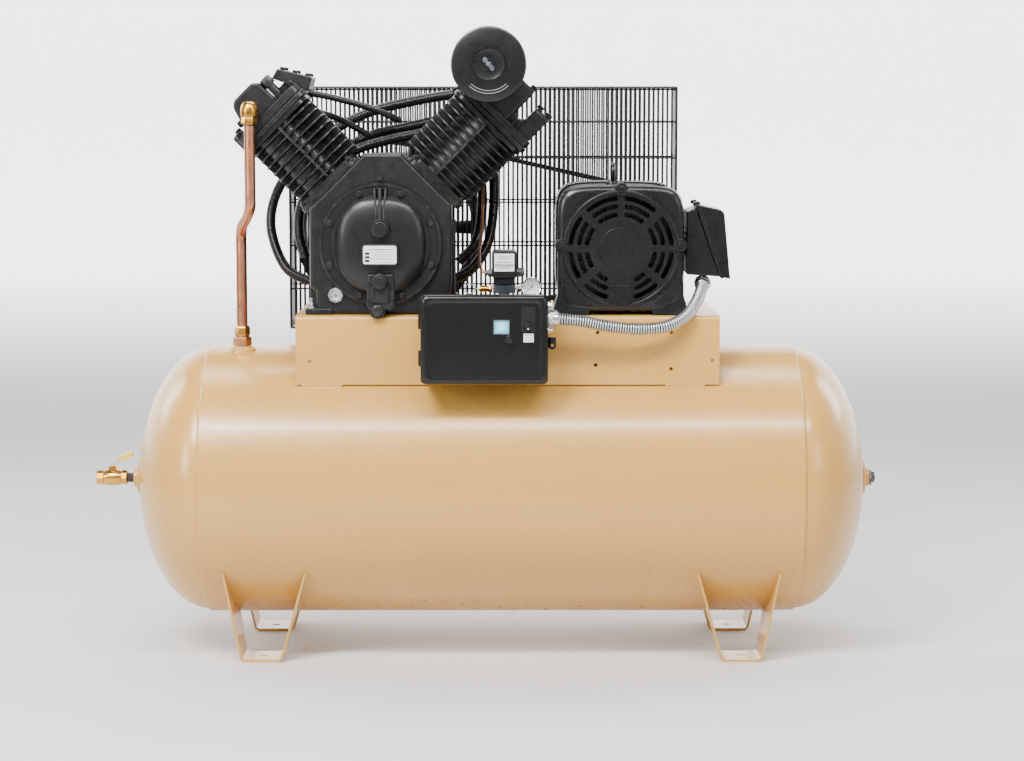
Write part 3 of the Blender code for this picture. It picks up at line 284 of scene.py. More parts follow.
class Shape:
    """Collects closed solids in one mesh, in tank coordinates or in a frame of its own."""

    def __init__(self, base=None):
        self.mesh = bmesh.new()
        self.base = base or Matrix.Identity(4)

    def loft(self, loops, closed=False):
        """Skins a row of loops. A loop of one point is a pole; ends are capped."""
        rows = []
        for loop in loops:
            rows.append([self.mesh.verts.new(self.base @ Vector(p)) for p in loop])
        pairs = list(zip(rows, rows[1:]))
        if closed:
            pairs.append((rows[-1], rows[0]))
        for first, second in pairs:
            self.skin(first, second)
        if not closed:
            for row in (rows[0], rows[-1]):
                if len(row) > 2:
                    self.mesh.faces.new(row)
        return rows

    def skin(self, first, second):
        count = max(len(first), len(second))
        for i in range(count):
            k = (i + 1) % count
            if len(first) == 1:
                self.mesh.faces.new((first[0], second[k], second[i]))
            elif len(second) == 1:
                self.mesh.faces.new((first[i], first[k], second[0]))
            else:
                self.mesh.faces.new((first[i], first[k], second[k], second[i]))

    def turned(self, profile, centre, axis, steps=48, closed=False):
        """Turns (radius, height) pairs about an axis through a centre."""
        turn = turn_to(axis)
        centre = Vector(centre)
        loops = []
        for radius, height in profile:
            if radius < 1e-6:
                loops.append([centre + turn @ Vector((0, 0, height))])
                continue
            angles = [math.tau * i / steps for i in range(steps)]
            loops.append([
                centre + turn @ Vector((radius * math.cos(a), radius * math.sin(a), height))
                for a in angles
            ])
        self.loft(loops, closed)
        return self

    def rod(self, start, end, radius, sides=24, end_radius=None):
        start, end = Vector(start), Vector(end)
        last = radius if end_radius is None else end_radius
        length = (end - start).length
        self.turned([(radius, 0), (last, length)], start, end - start, sides)
        return self

    def box(self, start, end):
        (a, b, c), (d, e, f) = start, end
        bottom = [(a, b, c), (d, b, c), (d, e, c), (a, e, c)]
        top = [(a, b, f), (d, b, f), (d, e, f), (a, e, f)]
        self.loft([bottom, top])
        return self

    def prism(self, outline, start, end, axis="Y"):
        """An outline of the two coordinates across an axis, between two stations."""
        self.loft([[across(axis, station, *p) for p in outline] for station in (start, end)])
        return self

    def pierced(self, outline, holes, start, end, axis="Y"):
        """A flat plate with holes, between two stations along an axis."""
        loops = [outline, *holes]
        flat = [[Vector((*p, 0)) for p in loop] for loop in loops]
        faces = tessellate_polygon(flat)
        rows = []
        for station in (start, end):
            points = [across(axis, station, *p) for loop in loops for p in loop]
            row = [self.mesh.verts.new(self.base @ Vector(p)) for p in points]
            for face in faces:
                self.mesh.faces.new([row[i] for i in face])
            rows.append(row)
        first = 0
        for loop in loops:
            count = len(loop)
            for i in range(count):
                a, b = first + i, first + (i + 1) % count
                self.mesh.faces.new((rows[0][a], rows[0][b], rows[1][b], rows[1][a]))
            first += count
        return self

    def stack(self, outline, centre, layers, axis="Y"):
        """Copies of an outline at (station, scale) layers: a plate with shaped edges."""
        loops = []
        for station, scale in layers:
            points = [(centre[0] + (a - centre[0]) * scale, centre[1] + (b - centre[1]) * scale)
                      for a, b in outline]
            loops.append([across(axis, station, *p) for p in points])
        self.loft(loops)
        return self

    def sweep(self, path, radius, sides=12):
        """A round bar along a path. The radius is a number, or one for each point."""
        points = [Vector(p) for p in path]
        radii = radius if isinstance(radius, list) else [radius] * len(points)
        normal = None
        loops = []
        for i, point in enumerate(points):
            before, after = points[max(i - 1, 0)], points[min(i + 1, len(points) - 1)]
            tangent = (after - before).normalized()
            if normal is None:
                normal = tangent.orthogonal().normalized()
            normal = (normal - tangent * normal.dot(tangent)).normalized()
            other = tangent.cross(normal)
            loops.append([
                point + radii[i] * (math.cos(a) * normal + math.sin(a) * other)
                for a in (math.tau * k / sides for k in range(sides))
            ])
        self.loft(loops)
        return self

    def bolt(self, spot, axis, size=0.006, height=0.005, washer=True):
        """A hexagon head on a washer, with a domed top."""
        axis = Vector(axis).normalized()
        spot = Vector(spot)
        if washer:
            self.turned([(size * 1.35, 0), (size * 1.35, size * 0.22)], spot, axis, 20)
            spot = spot + axis * size * 0.22
        self.turned([(size * 1.12, 0), (size * 1.12, height * 0.8), (size * 0.9, height)],
                    spot, axis, 6)
        return self

    def torus(self, centre, axis, radius, thick, steps=48, sides=10):
        profile = [(radius + thick * math.cos(a), thick * math.sin(a))
                   for a in (math.tau * k / sides for k in range(sides))]
        self.turned(profile, centre, axis, steps, closed=True)
        return self

    def done(self, name, mat, body="frame", replaces=(), bevel=0.0, segments=2, angle=35):
        bmesh.ops.recalc_face_normals(self.mesh, faces=self.mesh.faces)
        bmesh.ops.translate(self.mesh, vec=SHIFT, verts=self.mesh.verts)
        mesh = bpy.data.meshes.new(name)
        self.mesh.to_mesh(mesh)
        self.mesh.free()
        return finish_piece(name, mesh, mat, body, replaces, bevel, segments, angle)


def add_object(name, data):
    obj = bpy.data.objects.new(name, data)
    bpy.context.scene.collection.objects.link(obj)
    return obj


def finish_piece(name, mesh, mat, body, replaces, bevel, segments, angle):
    piece = add_object(name, mesh)
    mesh.materials.clear()
    mesh.materials.append(mat)
    mesh.shade_smooth()
    mesh.set_sharp_from_angle(angle=math.radians(angle))
    if bevel:
        edge = piece.modifiers.new("edges", "BEVEL")
        edge.width = bevel
        edge.segments = segments
        edge.limit_method = "ANGLE"
        edge.angle_limit = math.radians(angle)
        edge.harden_normals = True
    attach(piece, body)
    if replaces:
        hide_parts(*replaces)
    return piece


def refine(node, mat, body="frame", bevel=0.001, segments=2, angle=35):
    """The node's own shape with soft edges, in place of the plain solid."""
    shape = bmesh.new()
    shape.from_mesh(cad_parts[node].data)
    bmesh.ops.remove_doubles(shape, verts=shape.verts, dist=0.00002)
    bmesh.ops.dissolve_limit(shape, angle_limit=math.radians(1), verts=shape.verts,
                             edges=shape.edges)
    mesh = bpy.data.meshes.new(node + "_skin")
    shape.to_mesh(mesh)
    shape.free()
    return finish_piece(node + "_skin", mesh, mat, body, (node,), bevel, segments, angle)


# ---- outlines and routes ------------------------------------------------------------------------
def arc(cx, cz, radius, start, end, count):
    angles = [math.radians(start + (end - start) * i / count) for i in range(count + 1)]
    return [(cx + radius * math.cos(a), cz + radius * math.sin(a)) for a in angles]


def circle(cx, cz, radius, count=48):
    return arc(cx, cz, radius, 0, 360 - 360 / count, count - 1)


def rounded(left, bottom, right, top, radius, count=6):
    points = arc(right - radius, top - radius, radius, 0, 90, count)
    points += arc(left + radius, top - radius, radius, 90, 180, count)
    points += arc(left + radius, bottom + radius, radius, 180, 270, count)
    points += arc(right - radius, bottom + radius, radius, 270, 360, count)
    return points


def squircle(cx, cz, half_x, half_z, power=3.0, count=64):
    """A loop between a circle (power 2) and a rectangle."""
    points = []
    for i in range(count):
        a = math.tau * i / count
        c, s = math.cos(a), math.sin(a)
        r = (abs(c) ** power + abs(s) ** power) ** (-1 / power)
        points.append((cx + half_x * r * c, cz + half_z * r * s))
    return points


def smooth_route(points, per_span=8):
    """A Catmull-Rom curve through the given points."""
    pts = [Vector(p) for p in points]
    ends = [2 * pts[0] - pts[1], *pts, 2 * pts[-1] - pts[-2]]
    route = []
    for i in range(1, len(ends) - 2):
        a, b, c, d = ends[i - 1 : i + 3]
        for k in range(per_span):
            t = k / per_span
            route.append(0.5 * (2 * b + (c - a) * t + (2 * a - 5 * b + 4 * c - d) * t**2
                                + (3 * b - a - 3 * c + d) * t**3))
    route.append(pts[-1])
    return route


def even_route(points, step):
    """The route's points again, a fixed step apart."""
    route = smooth_route(points, 24)
    result = [route[0]]
    left = step
    for start, end in zip(route, route[1:]):
        length = (end - start).length
        while length > 1e-9 and left <= length:
            start = start + (end - start) * (left / length)
            length = (end - start).length
            result.append(start)
            left = step
        left -= length
    return result


# ---- camera, light and stage --------------------------------------------------------------------
def camera():
    """The photograph's view: from far in front, a little above the pump, looking slightly down."""
    data = bpy.data.cameras.new("camera")
    data.sensor_width = 36
    data.lens = 89.6
    obj = add_object("camera", data)
    obj.location = (SHIFT.x, SHIFT.y - 5.8, 1.27)
    obj.rotation_euler = (math.radians(90 - 6.504), 0, math.radians(-0.236))
    bpy.context.scene.camera = obj


def area_light(name, spot, target, size, power, size_y=None):
    data = bpy.data.lights.new(name, "AREA")
    data.energy = power
    data.size = size
    if size_y:
        data.shape = "RECTANGLE"
        data.size_y = size_y
    obj = add_object(name, data)
    obj.location = spot
    obj.rotation_mode = "QUATERNION"
    obj.rotation_quaternion = (Vector(target) - Vector(spot)).to_track_quat("-Z", "Y")


def studio():
    camera()
    world = bpy.data.worlds.new("studio")
    bpy.context.scene.world = world
    world.use_nodes = True
    world.node_tree.nodes["Background"].inputs["Color"].default_value = (1, 1, 1, 1)
    world.node_tree.nodes["Background"].inputs["Strength"].default_value = 0.11
    area_light("key", (-1.7, -3.0, 3.9), (-0.1, 0, 0.6), 1.3, 250, 1.6)
    area_light("strip", (0.4, -2.3, 3.3), (0.1, 0, 0.4), 3.4, 150, 0.3)
    area_light("left_front", (-3.1, -2.8, 1.9), (-0.2, 0, 0.95), 0.9, 70, 1.6)
    area_light("fill", (3.2, -2.8, 1.9), (0, 0, 0.8), 1.2, 30, 1.4)
    area_light("top", (0, 0.7, 3.5), (0, 0, 0.8), 2.4, 80, 1.0)
    area_light("rim_left", (-3.0, 1.4, 2.2), (0, 0, 0.9), 0.8, 55, 1.8)
    area_light("rim_right", (3.0, 1.4, 2.2), (0, 0, 0.9), 0.8, 55, 1.8)
    sweep_backdrop()


def sweep_backdrop():
    """A round pale floor that curves up into a wall on every side, lit behind the object."""
    flat, bend, top, count = 13.0, 3.0, 11.0, 96
    profile = [(flat, 0.0)]
    profile += [(flat + bend * math.sin(a), bend - bend * math.cos(a))
                for a in (math.pi / 2 * i / 14 for i in range(1, 15))]
    profile.append((flat + bend, top))
    shape = bmesh.new()
    rings = []
    for radius, z in profile:
        turns = (math.tau * i / count for i in range(count))
        rings.append([shape.verts.new((radius * math.cos(a), radius * math.sin(a), z)) for a in turns])
    for low_ring, high_ring in zip(rings, rings[1:]):
        for i in range(count):
            k = (i + 1) % count
            shape.faces.new((low_ring[i], high_ring[i], high_ring[k], low_ring[k]))
    shape.faces.new(rings[0])
    mesh = bpy.data.meshes.new("backdrop")
    shape.to_mesh(mesh)
    shape.free()
    mesh.shade_smooth()
    backdrop = add_object("backdrop", mesh)
    mat, tree, shader = node_tree("pale_backdrop")
    tree.links.new(ramp(tree, noise(tree, 3, 3), [(0.3, (0.68, 0.68, 0.68)), (0.7, (0.71, 0.71, 0.71))]),
                   shader.inputs["Base Color"])
    shader.inputs["Roughness"].default_value = 0.7
    place = tree.nodes.new("ShaderNodeTexCoord")
    split = tree.nodes.new("ShaderNodeSeparateXYZ")
    tree.links.new(place.outputs["Object"], split.inputs["Vector"])
    glow = tree.nodes.new("ShaderNodeMapRange")
    glow.interpolation_type = "SMOOTHSTEP"
    glow.inputs["From Min"].default_value = 3.0
    glow.inputs["From Max"].default_value = 14.0
    glow.inputs["To Min"].default_value = 0.0
    glow.inputs["To Max"].default_value = 3.0
    tree.links.new(split.outputs["Y"], glow.inputs["Value"])
    shader.inputs["Emission Color"].default_value = (1, 1, 1, 1)
    tree.links.new(glow.outputs["Result"], shader.inputs["Emission Strength"])
    mesh.materials.append(mat)


# ---- tank ---------------------------------------------------------------------------------------
def tank():
    wall = 0.005
    edge = 0.0015
    shell = Shape()
    half = SHELL_HALF
    shell.turned([
        (TANK_R - edge, half), (TANK_R, half - edge), (TANK_R, -half + edge),
        (TANK_R - edge, -half), (TANK_R - wall, -half), (TANK_R - wall, half),
    ], (0, 0, TANK_Z), (1, 0, 0), 160, closed=True)
    shell.done("tank_shell_skin", TAN, replaces=("tank_shell",))
    head_r = TANK_R - wall - 0.0003
    port_r = 0.022
    for side, name in ((-1, "left"), (1, "right")):
        depth = HEAD_FACE - half
        head = Shape()
        outer, inner = [], []
        first = math.asin(port_r / head_r)
        for i in range(29):
            a = first + (math.pi / 2 - first) * i / 28
            outer.append((head_r * math.sin(a), depth * math.cos(a)))
            inner.append(((head_r - wall) * math.sin(a), (depth - wall) * math.cos(a)))
        profile = outer + [(head_r, -0.035), (head_r - wall, -0.035)] + inner[::-1]
        head.turned(profile, (side * half, 0, TANK_Z), (side, 0, 0), 160, closed=True)
        head.done(f"tank_head_{name}_skin", TAN, replaces=(f"tank_head_{name}",))
        bead = Shape()
        bead.torus((side * (half + 0.0004), 0, TANK_Z), (1, 0, 0), head_r + 0.0008, 0.0024, 160, 8)
        bead.done(f"tank_head_weld_{name}", TAN)
        tank_port(name, side)
    seam = Shape()
    turn = 2.2  # radians from the top of the tank, down its back
    for i in range(120):
        x = -half + 0.006 + (2 * half - 0.012) * i / 119
        seam.turned([(0, 0.0012), (0.004, 0.0008), (0.0065, -0.001), (0, -0.002)],
                    (x, TANK_R * math.sin(turn), TANK_Z + TANK_R * math.cos(turn)),
                    (0, math.sin(turn), math.cos(turn)), 10)
    seam.done("tank_long_weld", TAN)


def tank_port(name, side):
    face = HEAD_FACE
    port = Shape()
    port.turned([
        (0.0118, 0.0165), (0.0200, 0.0165), (0.0210, 0.0155), (0.0210, 0.0075), (0.0222, 0.0062),
        (0.0375, 0.0060), (0.0390, 0.0045), (0.0390, -0.0022), (0.0217, -0.0022), (0.0217, -0.012),
        (0.0118, -0.012),
    ], (side * face, 0, TANK_Z), (side, 0, 0), 64, closed=True)
    port.done(f"tank_port_{name}", TAN)
    bead = Shape()
    bead.torus((side * (face + 0.0012), 0, TANK_Z), (1, 0, 0), 0.0392, 0.0024, 64, 8)
    bead.done(f"tank_port_weld_{name}", TAN)


FOOT_X, FOOT_HALF, STRAP = 0.536, 0.0458, 0.0054
BEND = 0.011


def foot_depth(z):
    """The front and back edges of a foot's strap at a height, the back one ending on the tank."""
    front = 0.215 + 0.037 * z / 0.2
    back = 0.12 - 0.35 * z
    if z > TANK_Z - TANK_R:
        back = max(back, math.sqrt(TANK_R**2 - (TANK_Z - z) ** 2) - 0.003)
    return front, min(back, front - 0.002)


def foot_leg(shape, x, way, flare, facing):
    """One leg of a foot: a bend up from the pad, then the strap rising to the tank."""
    lean = math.atan2(flare, 0.2)
    turn = math.pi / 2 - lean
    path = [(x - way * BEND, STRAP / 2)]
    for i in range(1, 9):
        a = turn * i / 8
        path.append((x - way * BEND + way * BEND * math.sin(a), STRAP / 2 + BEND * (1 - math.cos(a))))
    last_x, last_z = path[-1]
    for i in range(1, 15):
        z = last_z + (0.2085 - last_z) * i / 14
        path.append((last_x + way * (z - last_z) * math.tan(lean), z))
    loops = []
    for i, (px, pz) in enumerate(path):
        a = turn * min(i, 8) / 8
        nx, nz = -way * math.sin(a) * STRAP / 2, math.cos(a) * STRAP / 2
        front, back = foot_depth(pz)
        loops.append([
            (px - nx, facing * front, pz - nz), (px - nx, facing * back, pz - nz),
            (px + nx, facing * back, pz + nz), (px + nx, facing * front, pz + nz),
        ])
    shape.loft(loops)


def feet():
    for name in ("front_left", "front_right", "rear_left", "rear_right"):
        facing = -1 if "front" in name else 1
        outward = -1 if "left" in name else 1
        x = outward * FOOT_X
        foot = Shape()
        foot_leg(foot, x + outward * FOOT_HALF, outward, 0.036, facing)
        foot_leg(foot, x - outward * FOOT_HALF, -outward, 0.057, facing)
        y0, y1 = sorted((facing * 0.215, facing * 0.12))
        pad = [(x - FOOT_HALF + BEND, y0), (x + FOOT_HALF - BEND, y0),
               (x + FOOT_HALF - BEND, y1), (x - FOOT_HALF + BEND, y1)]
        slot = rounded(x - 0.009, facing * 0.167 - 0.005, x + 0.009, facing * 0.167 + 0.005, 0.0049, 5)
        foot.pierced(pad, [slot], 0, STRAP, "Z")
        foot.done(f"foot_{name}_skin", TAN, replaces=(f"foot_{name}",), bevel=0.0009)
        foot_welds(name, x, outward, facing)


def foot_welds(name, x, outward, facing):
    """A bead down each leg where it meets the tank."""
    weld = Shape()
    for way, flare in ((outward, 0.036), (-outward, 0.057)):
        path = []
        for i in range(15):
            z = 0.2075 - 0.1 * i / 14
            y = math.sqrt((TANK_R + 0.0008) ** 2 - (TANK_Z - z) ** 2)
            px = x + way * (FOOT_HALF - BEND * 0.3 + flare * z / 0.2)
            path.append((px + way * 0.003, facing * y, z))
        weld.sweep(path, 0.0028, 8)
    weld.done(f"foot_weld_{name}", TAN)


def platform():
    refine("base_platform", TAN, bevel=0.0012)
    start, end = low("base_platform"), high("base_platform")
    weld = Shape()
    for x0, x1 in ((-0.44, -0.354), (0.364, 0.448)):
        for side in (-1, 1):
            y = side * 0.2015
            z = TANK_Z + math.sqrt(TANK_R**2 - 0.2**2) - 0.001
            weld.sweep([(x0 + (x1 - x0) * i / 14, y, z + 0.0006 * math.sin(i * 2.1))
                        for i in range(15)], 0.003, 8)
    weld.done("platform_welds", TAN)
    bolts = Shape()
    z = end.z
    for x, y in ((CRANK.x - 0.156, -0.155), (CRANK.x - 0.156, 0.145), (CRANK.x + 0.156, 0.145)):
        bolts.rod((x, y, z + 0.012), (x, y, z + 0.036), 0.0045, 16)
        bolts.bolt((x, y, z + 0.0144), (0, 0, 1), 0.0085, 0.009)
    for x in (MOTOR.x - 0.118, MOTOR.x + 0.118):
        for y in (-0.105, 0.045):
            bolts.bolt((x, y, z + 0.0405), (0, 0, 1), 0.0075, 0.008)
    bolts.done("mounting_nuts", STEEL, bevel=0.0006)


# ---- ball valve and plug ------------------------------------------------------------------------
def outlet_valve():
    x, z = -0.894, TANK_Z
    nipple = Shape()
    start, end = low("outlet_nipple").x, high("outlet_nipple").x
    count = 22
    profile = [(0.0085, 0)]
    for i in range(count):
        h = (end - start) * i / count
        profile += [(0.0114, h), (0.0106, h + (end - start) / count / 2)]
    profile += [(0.0114, end - start), (0.0085, end - start)]
    nipple.turned(profile, (start, 0, z), (1, 0, 0), 32, closed=True)
    nipple.done("outlet_nipple_skin", PIPE, replaces=("outlet_nipple",))
    room = (high("valve_ball").y - low("valve_ball").y) / 2 + 0.0005
    body = Shape()
    body.turned([(0.0105, -0.036), (0.0158, -0.036), (0.0168, -0.034), (0.0168, -0.021),
                 (0.0150, -0.019), (0.0105, -0.019)], (x, 0, z), (1, 0, 0), 8, closed=True)
    body.turned([(0.0105, -0.0195), (0.0155, -0.0195), (0.0178, -0.012), (0.0185, 0),
                 (0.0178, 0.012), (0.0155, 0.0205), (0.0105, 0.0205), (0.0105, room), (room, room),
                 (room, -room), (0.0105, -room)],
                (x, 0, z), (1, 0, 0), 48, closed=True)
    body.turned([(0.0124, 0.02), (0.0152, 0.02), (0.0168, 0.022), (0.0168, 0.033),
                 (0.0158, 0.034), (0.0124, 0.034)], (x, 0, z), (1, 0, 0), 8, closed=True)
    body.turned([(0.0052, room + 0.0004), (0.0098, room + 0.0004), (0.0088, 0.022), (0.0085, 0.0268),
                 (0.0052, 0.0268)], (x, 0, z), (0, 0, 1), 32, closed=True)
    body.done("valve_body_skin", BRASS, replaces=("valve_body",), bevel=0.0006)
    nut = Shape()
    nut.bolt((x, 0, z + 0.0336), (0, 0, 1), 0.0058, 0.005)
    nut.rod((x, 0, z + 0.038), (x, 0, z + 0.0415), 0.003, 16)
    nut.done("valve_stem_nut", STEEL, "valve_handle", bevel=0.0004)
    refine("valve_lever", STEEL, "valve_handle", bevel=0.0006)
    refine("valve_grip", VINYL, "valve_handle", bevel=0.0035, segments=4)
    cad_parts["valve_ball"].data.materials.clear()
    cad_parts["valve_ball"].data.materials.append(CHROME)
    plug = Shape()
    px = low("pipe_plug").x
    plug.turned([(0, 0), (0.0185, 0), (0.0195, 0.001), (0.0195, 0.0045), (0.0185, 0.0055), (0, 0.0055)],
                (px, 0, z), (1, 0, 0), 6)
    plug.turned([(0, 0.004), (0.0115, 0.004), (0.0125, 0.005), (0.0125, 0.0125), (0.011, 0.0138),
                 (0, 0.0138)], (px, 0, z), (1, 0, 0), 4)
    plug.done("pipe_plug_skin", PIPE, replaces=("pipe_plug",), bevel=0.0008)


# ---- discharge line -----------------------------------------------------------------------------
def discharge_line():
    seat = low("check_valve")
    x, y = middle("check_valve").x, middle("check_valve").y
    tx, ty = -0.555, -0.16
    elbow_z = 1.222
    boss = Shape()
    boss.turned([(0, -0.012), (0.0335, -0.012), (0.0325, -0.004), (0.0305, 0.002), (0.0265, 0.0045),
                 (0.0255, 0.0076), (0.0245, 0.0082), (0, 0.0082)],
                (x, y, seat.z - 0.0084), (0, 0, 1), 56)
    boss.done("discharge_boss_skin", TAN, replaces=("discharge_boss",))
    nut = Shape()
    nut.turned([(0, 0), (0.0195, 0), (0.0212, 0.0015), (0.0212, 0.0185), (0.0195, 0.020),
                (0.0175, 0.0205), (0, 0.0205)], (x, y, seat.z + 0.0002), (0, 0, 1), 6)
    nut.turned([(0, 0.02), (0.0158, 0.02), (0.0158, 0.0245), (0, 0.0245)],
               (x, y, seat.z), (0, 0, 1), 32)
    nut.done("check_valve_skin", BRONZE, replaces=("check_valve",), bevel=0.0007)
    tube_nut = Shape()
    tube_nut.turned([(0, 0), (0.0165, 0), (0.0178, 0.0012), (0.0178, 0.0165), (0.016, 0.0195),
                     (0.0135, 0.022), (0, 0.022)], (x, y, seat.z + 0.0245), (0, 0, 1), 6)
    tube_nut.done("check_valve_tube_nut", BRASS, bevel=0.0007)
    route = [
        (tx, ty, elbow_z - 0.03), (tx, ty, 1.16), (tx, ty, 1.1), (tx, ty, 1.035),
        (tx - 0.001, ty + 0.006, 1.012), (tx - 0.012, ty + 0.045, 0.988),
        (x + 0.006, y - 0.03, 0.968), (x, y, 0.945), (x, y, 0.9), (x, y, 0.82),
        (x, y, seat.z + 0.045),
    ]
    pipe = Shape()
    path = smooth_route(route, 10)
    bend = [0.0122 - 0.0009 * math.exp(-((p.z - 0.99) / 0.012) ** 2) for p in path]
    pipe.sweep(path, bend, 28)
    pipe.done("discharge_pipe_skin", COPPER, replaces=("discharge_pipe",))
    elbow = Shape()
    elbow.turned([(0, -0.0275), (0.0168, -0.0275), (0.0182, -0.026), (0.0182, -0.012),
                  (0.0165, -0.0095), (0.0150, -0.009), (0, -0.009)], (tx, ty, elbow_z), (0, 0, 1), 6)
    elbow.turned([(0, -0.0095), (0.0188, -0.0095), (0.0195, -0.007), (0.0195, 0.006),
                  (0.0175, 0.0155), (0.0125, 0.0215), (0.006, 0.0235), (0, 0.0238)],
                 (tx, ty, elbow_z), (0, 0, 1), 40)
    head_face = low("head_second").y
    elbow.turned([(0, 0), (0.0165, 0), (0.0165, head_face - ty - 0.001), (0, head_face - ty - 0.001)],
                 (tx, ty, elbow_z + 0.001), (0, 1, 0), 8)
    elbow.done("discharge_elbow_skin", BRASS, replaces=("discharge_elbow",), bevel=0.0009)


# ---- pump: crankcase and covers -----------------------------------------------------------------
CASE_HALF = 0.157
CASE_FRONT, CASE_BACK = -0.17, 0.13
DECKS = {"second": 0.1577, "first": 0.163}
CASE_TOP = 0.186
COVER_Z = 0.931


def case_outline(inset):
    """The case's section, moved in by an inset: a cut low left corner and a drawn-in right one."""
    left_low = DECKS["second"] * math.sqrt(2) - CASE_HALF
    right_low = DECKS["first"] * math.sqrt(2) - CASE_HALF
    left_top = DECKS["second"] * math.sqrt(2) - CASE_TOP
    right_top = DECKS["first"] * math.sqrt(2) - CASE_TOP
    half = CASE_HALF - inset
    cut = inset * (math.sqrt(2) - 1)
    x, z = CRANK.x, CRANK.z
    return [
        (x - half + 0.016, BASE), (x + half - 0.045, BASE), (x + half - 0.02, BASE + 0.012),
        (x + half - 0.006, BASE + 0.035), (x + half, BASE + 0.07),
        (x + half, z + right_low - cut), (x + right_top - cut, z + CASE_TOP - inset),
        (x - left_top + cut, z + CASE_TOP - inset), (x - half, z + left_low - cut),
        (x - half, BASE + 0.062), (x - half + 0.016, BASE + 0.048),
    ]


def crankcase():
    case = Shape()
    case.prism(case_outline(0.004), CASE_FRONT + 0.012, CASE_BACK)
    case.done("crankcase_skin", IRON, replaces=("crankcase",), bevel=0.007, segments=3, angle=25)
    plate = Shape()
    plate.stack(case_outline(0.0), (CRANK.x, CRANK.z), [
        (CASE_FRONT + 0.03, 0.985), (CASE_FRONT + 0.024, 1.0), (CASE_FRONT + 0.006, 1.0),
        (CASE_FRONT + 0.0005, 0.975),
    ])
    plate.done("crankcase_front_flange", IRON, bevel=0.003, segments=3, angle=25)
    x, z = CRANK.x, CRANK.z
    trim = Shape()
    half = CASE_HALF
    for x0, x1, y0, y1, height in (
        (x - half - 0.011, x - half + 0.05, CASE_FRONT - 0.004, CASE_BACK + 0.028, 0.014),
        (x - half + 0.02, x + half + 0.011, CASE_FRONT + 0.02, CASE_BACK + 0.028, 0.018),
        (x - half + 0.014, x - half + 0.022, CASE_FRONT + 0.004, CASE_FRONT + 0.05, 0.05),
    ):
        trim.box((x0, y0, BASE), (x1, y1, BASE + height))
    for y in (-0.09, -0.01, 0.07):
        trim.box((x - half - 0.006, y - 0.005, BASE + 0.01), (x - half + 0.02, y + 0.005, z + 0.03))
        trim.box((x + half - 0.02, y - 0.005, BASE + 0.01), (x + half + 0.005, y + 0.005, z + 0.03))
    trim.done("crankcase_foot_flange", IRON, bevel=0.003, segments=2)
    deck_plates()
    sight_and_plugs()


def slope_frame(key):
    """Axes on a cylinder: local X up its outer side, Y back, Z out along its axis."""
    side = SIDES[key]
    axis = Vector((side * math.sin(SLOPE), 0, math.cos(SLOPE)))
    across = Vector((-side * math.cos(SLOPE), 0, math.sin(SLOPE)))
    y = middle(f"cylinder_{key}").y
    turn = Matrix((across, axis.cross(across), axis)).transposed().to_4x4()
    return Matrix.Translation((CRANK.x, y, CRANK.z)) @ turn


def deck_plates():
    """Where the cylinders stand on the case: an open plate with nuts on studs."""
    for key, (_, _, bore, _, _) in CYLINDERS.items():
        deck = Shape(slope_frame(key))
        d = DECKS[key]
        wide = 0.082 if key == "second" else 0.079
        hole = [circle(0, 0, bore, 48)]
        deck.pierced(rounded(-wide, -0.098, wide, 0.098, 0.02), hole, d - 0.003, d + 0.009, "Z")
        deck.pierced(rounded(-wide + 0.006, -0.09, wide - 0.006, 0.09, 0.02), hole,
                     d + 0.0085, d + 0.019, "Z")
        deck.done(f"cylinder_deck_{key}", IRON, bevel=0.002)
        nuts = Shape(slope_frame(key))
        for u in (-wide + 0.012, wide - 0.012):
            for v in (-0.082, 0.082):
                nuts.bolt((u, v, d + 0.009), (0, 0, 1), 0.0075, 0.009)
                nuts.rod((u, v, d + 0.015), (u, v, d + 0.024), 0.0042, 14)
        nuts.done(f"cylinder_deck_nuts_{key}", BLACK, bevel=0.0006)


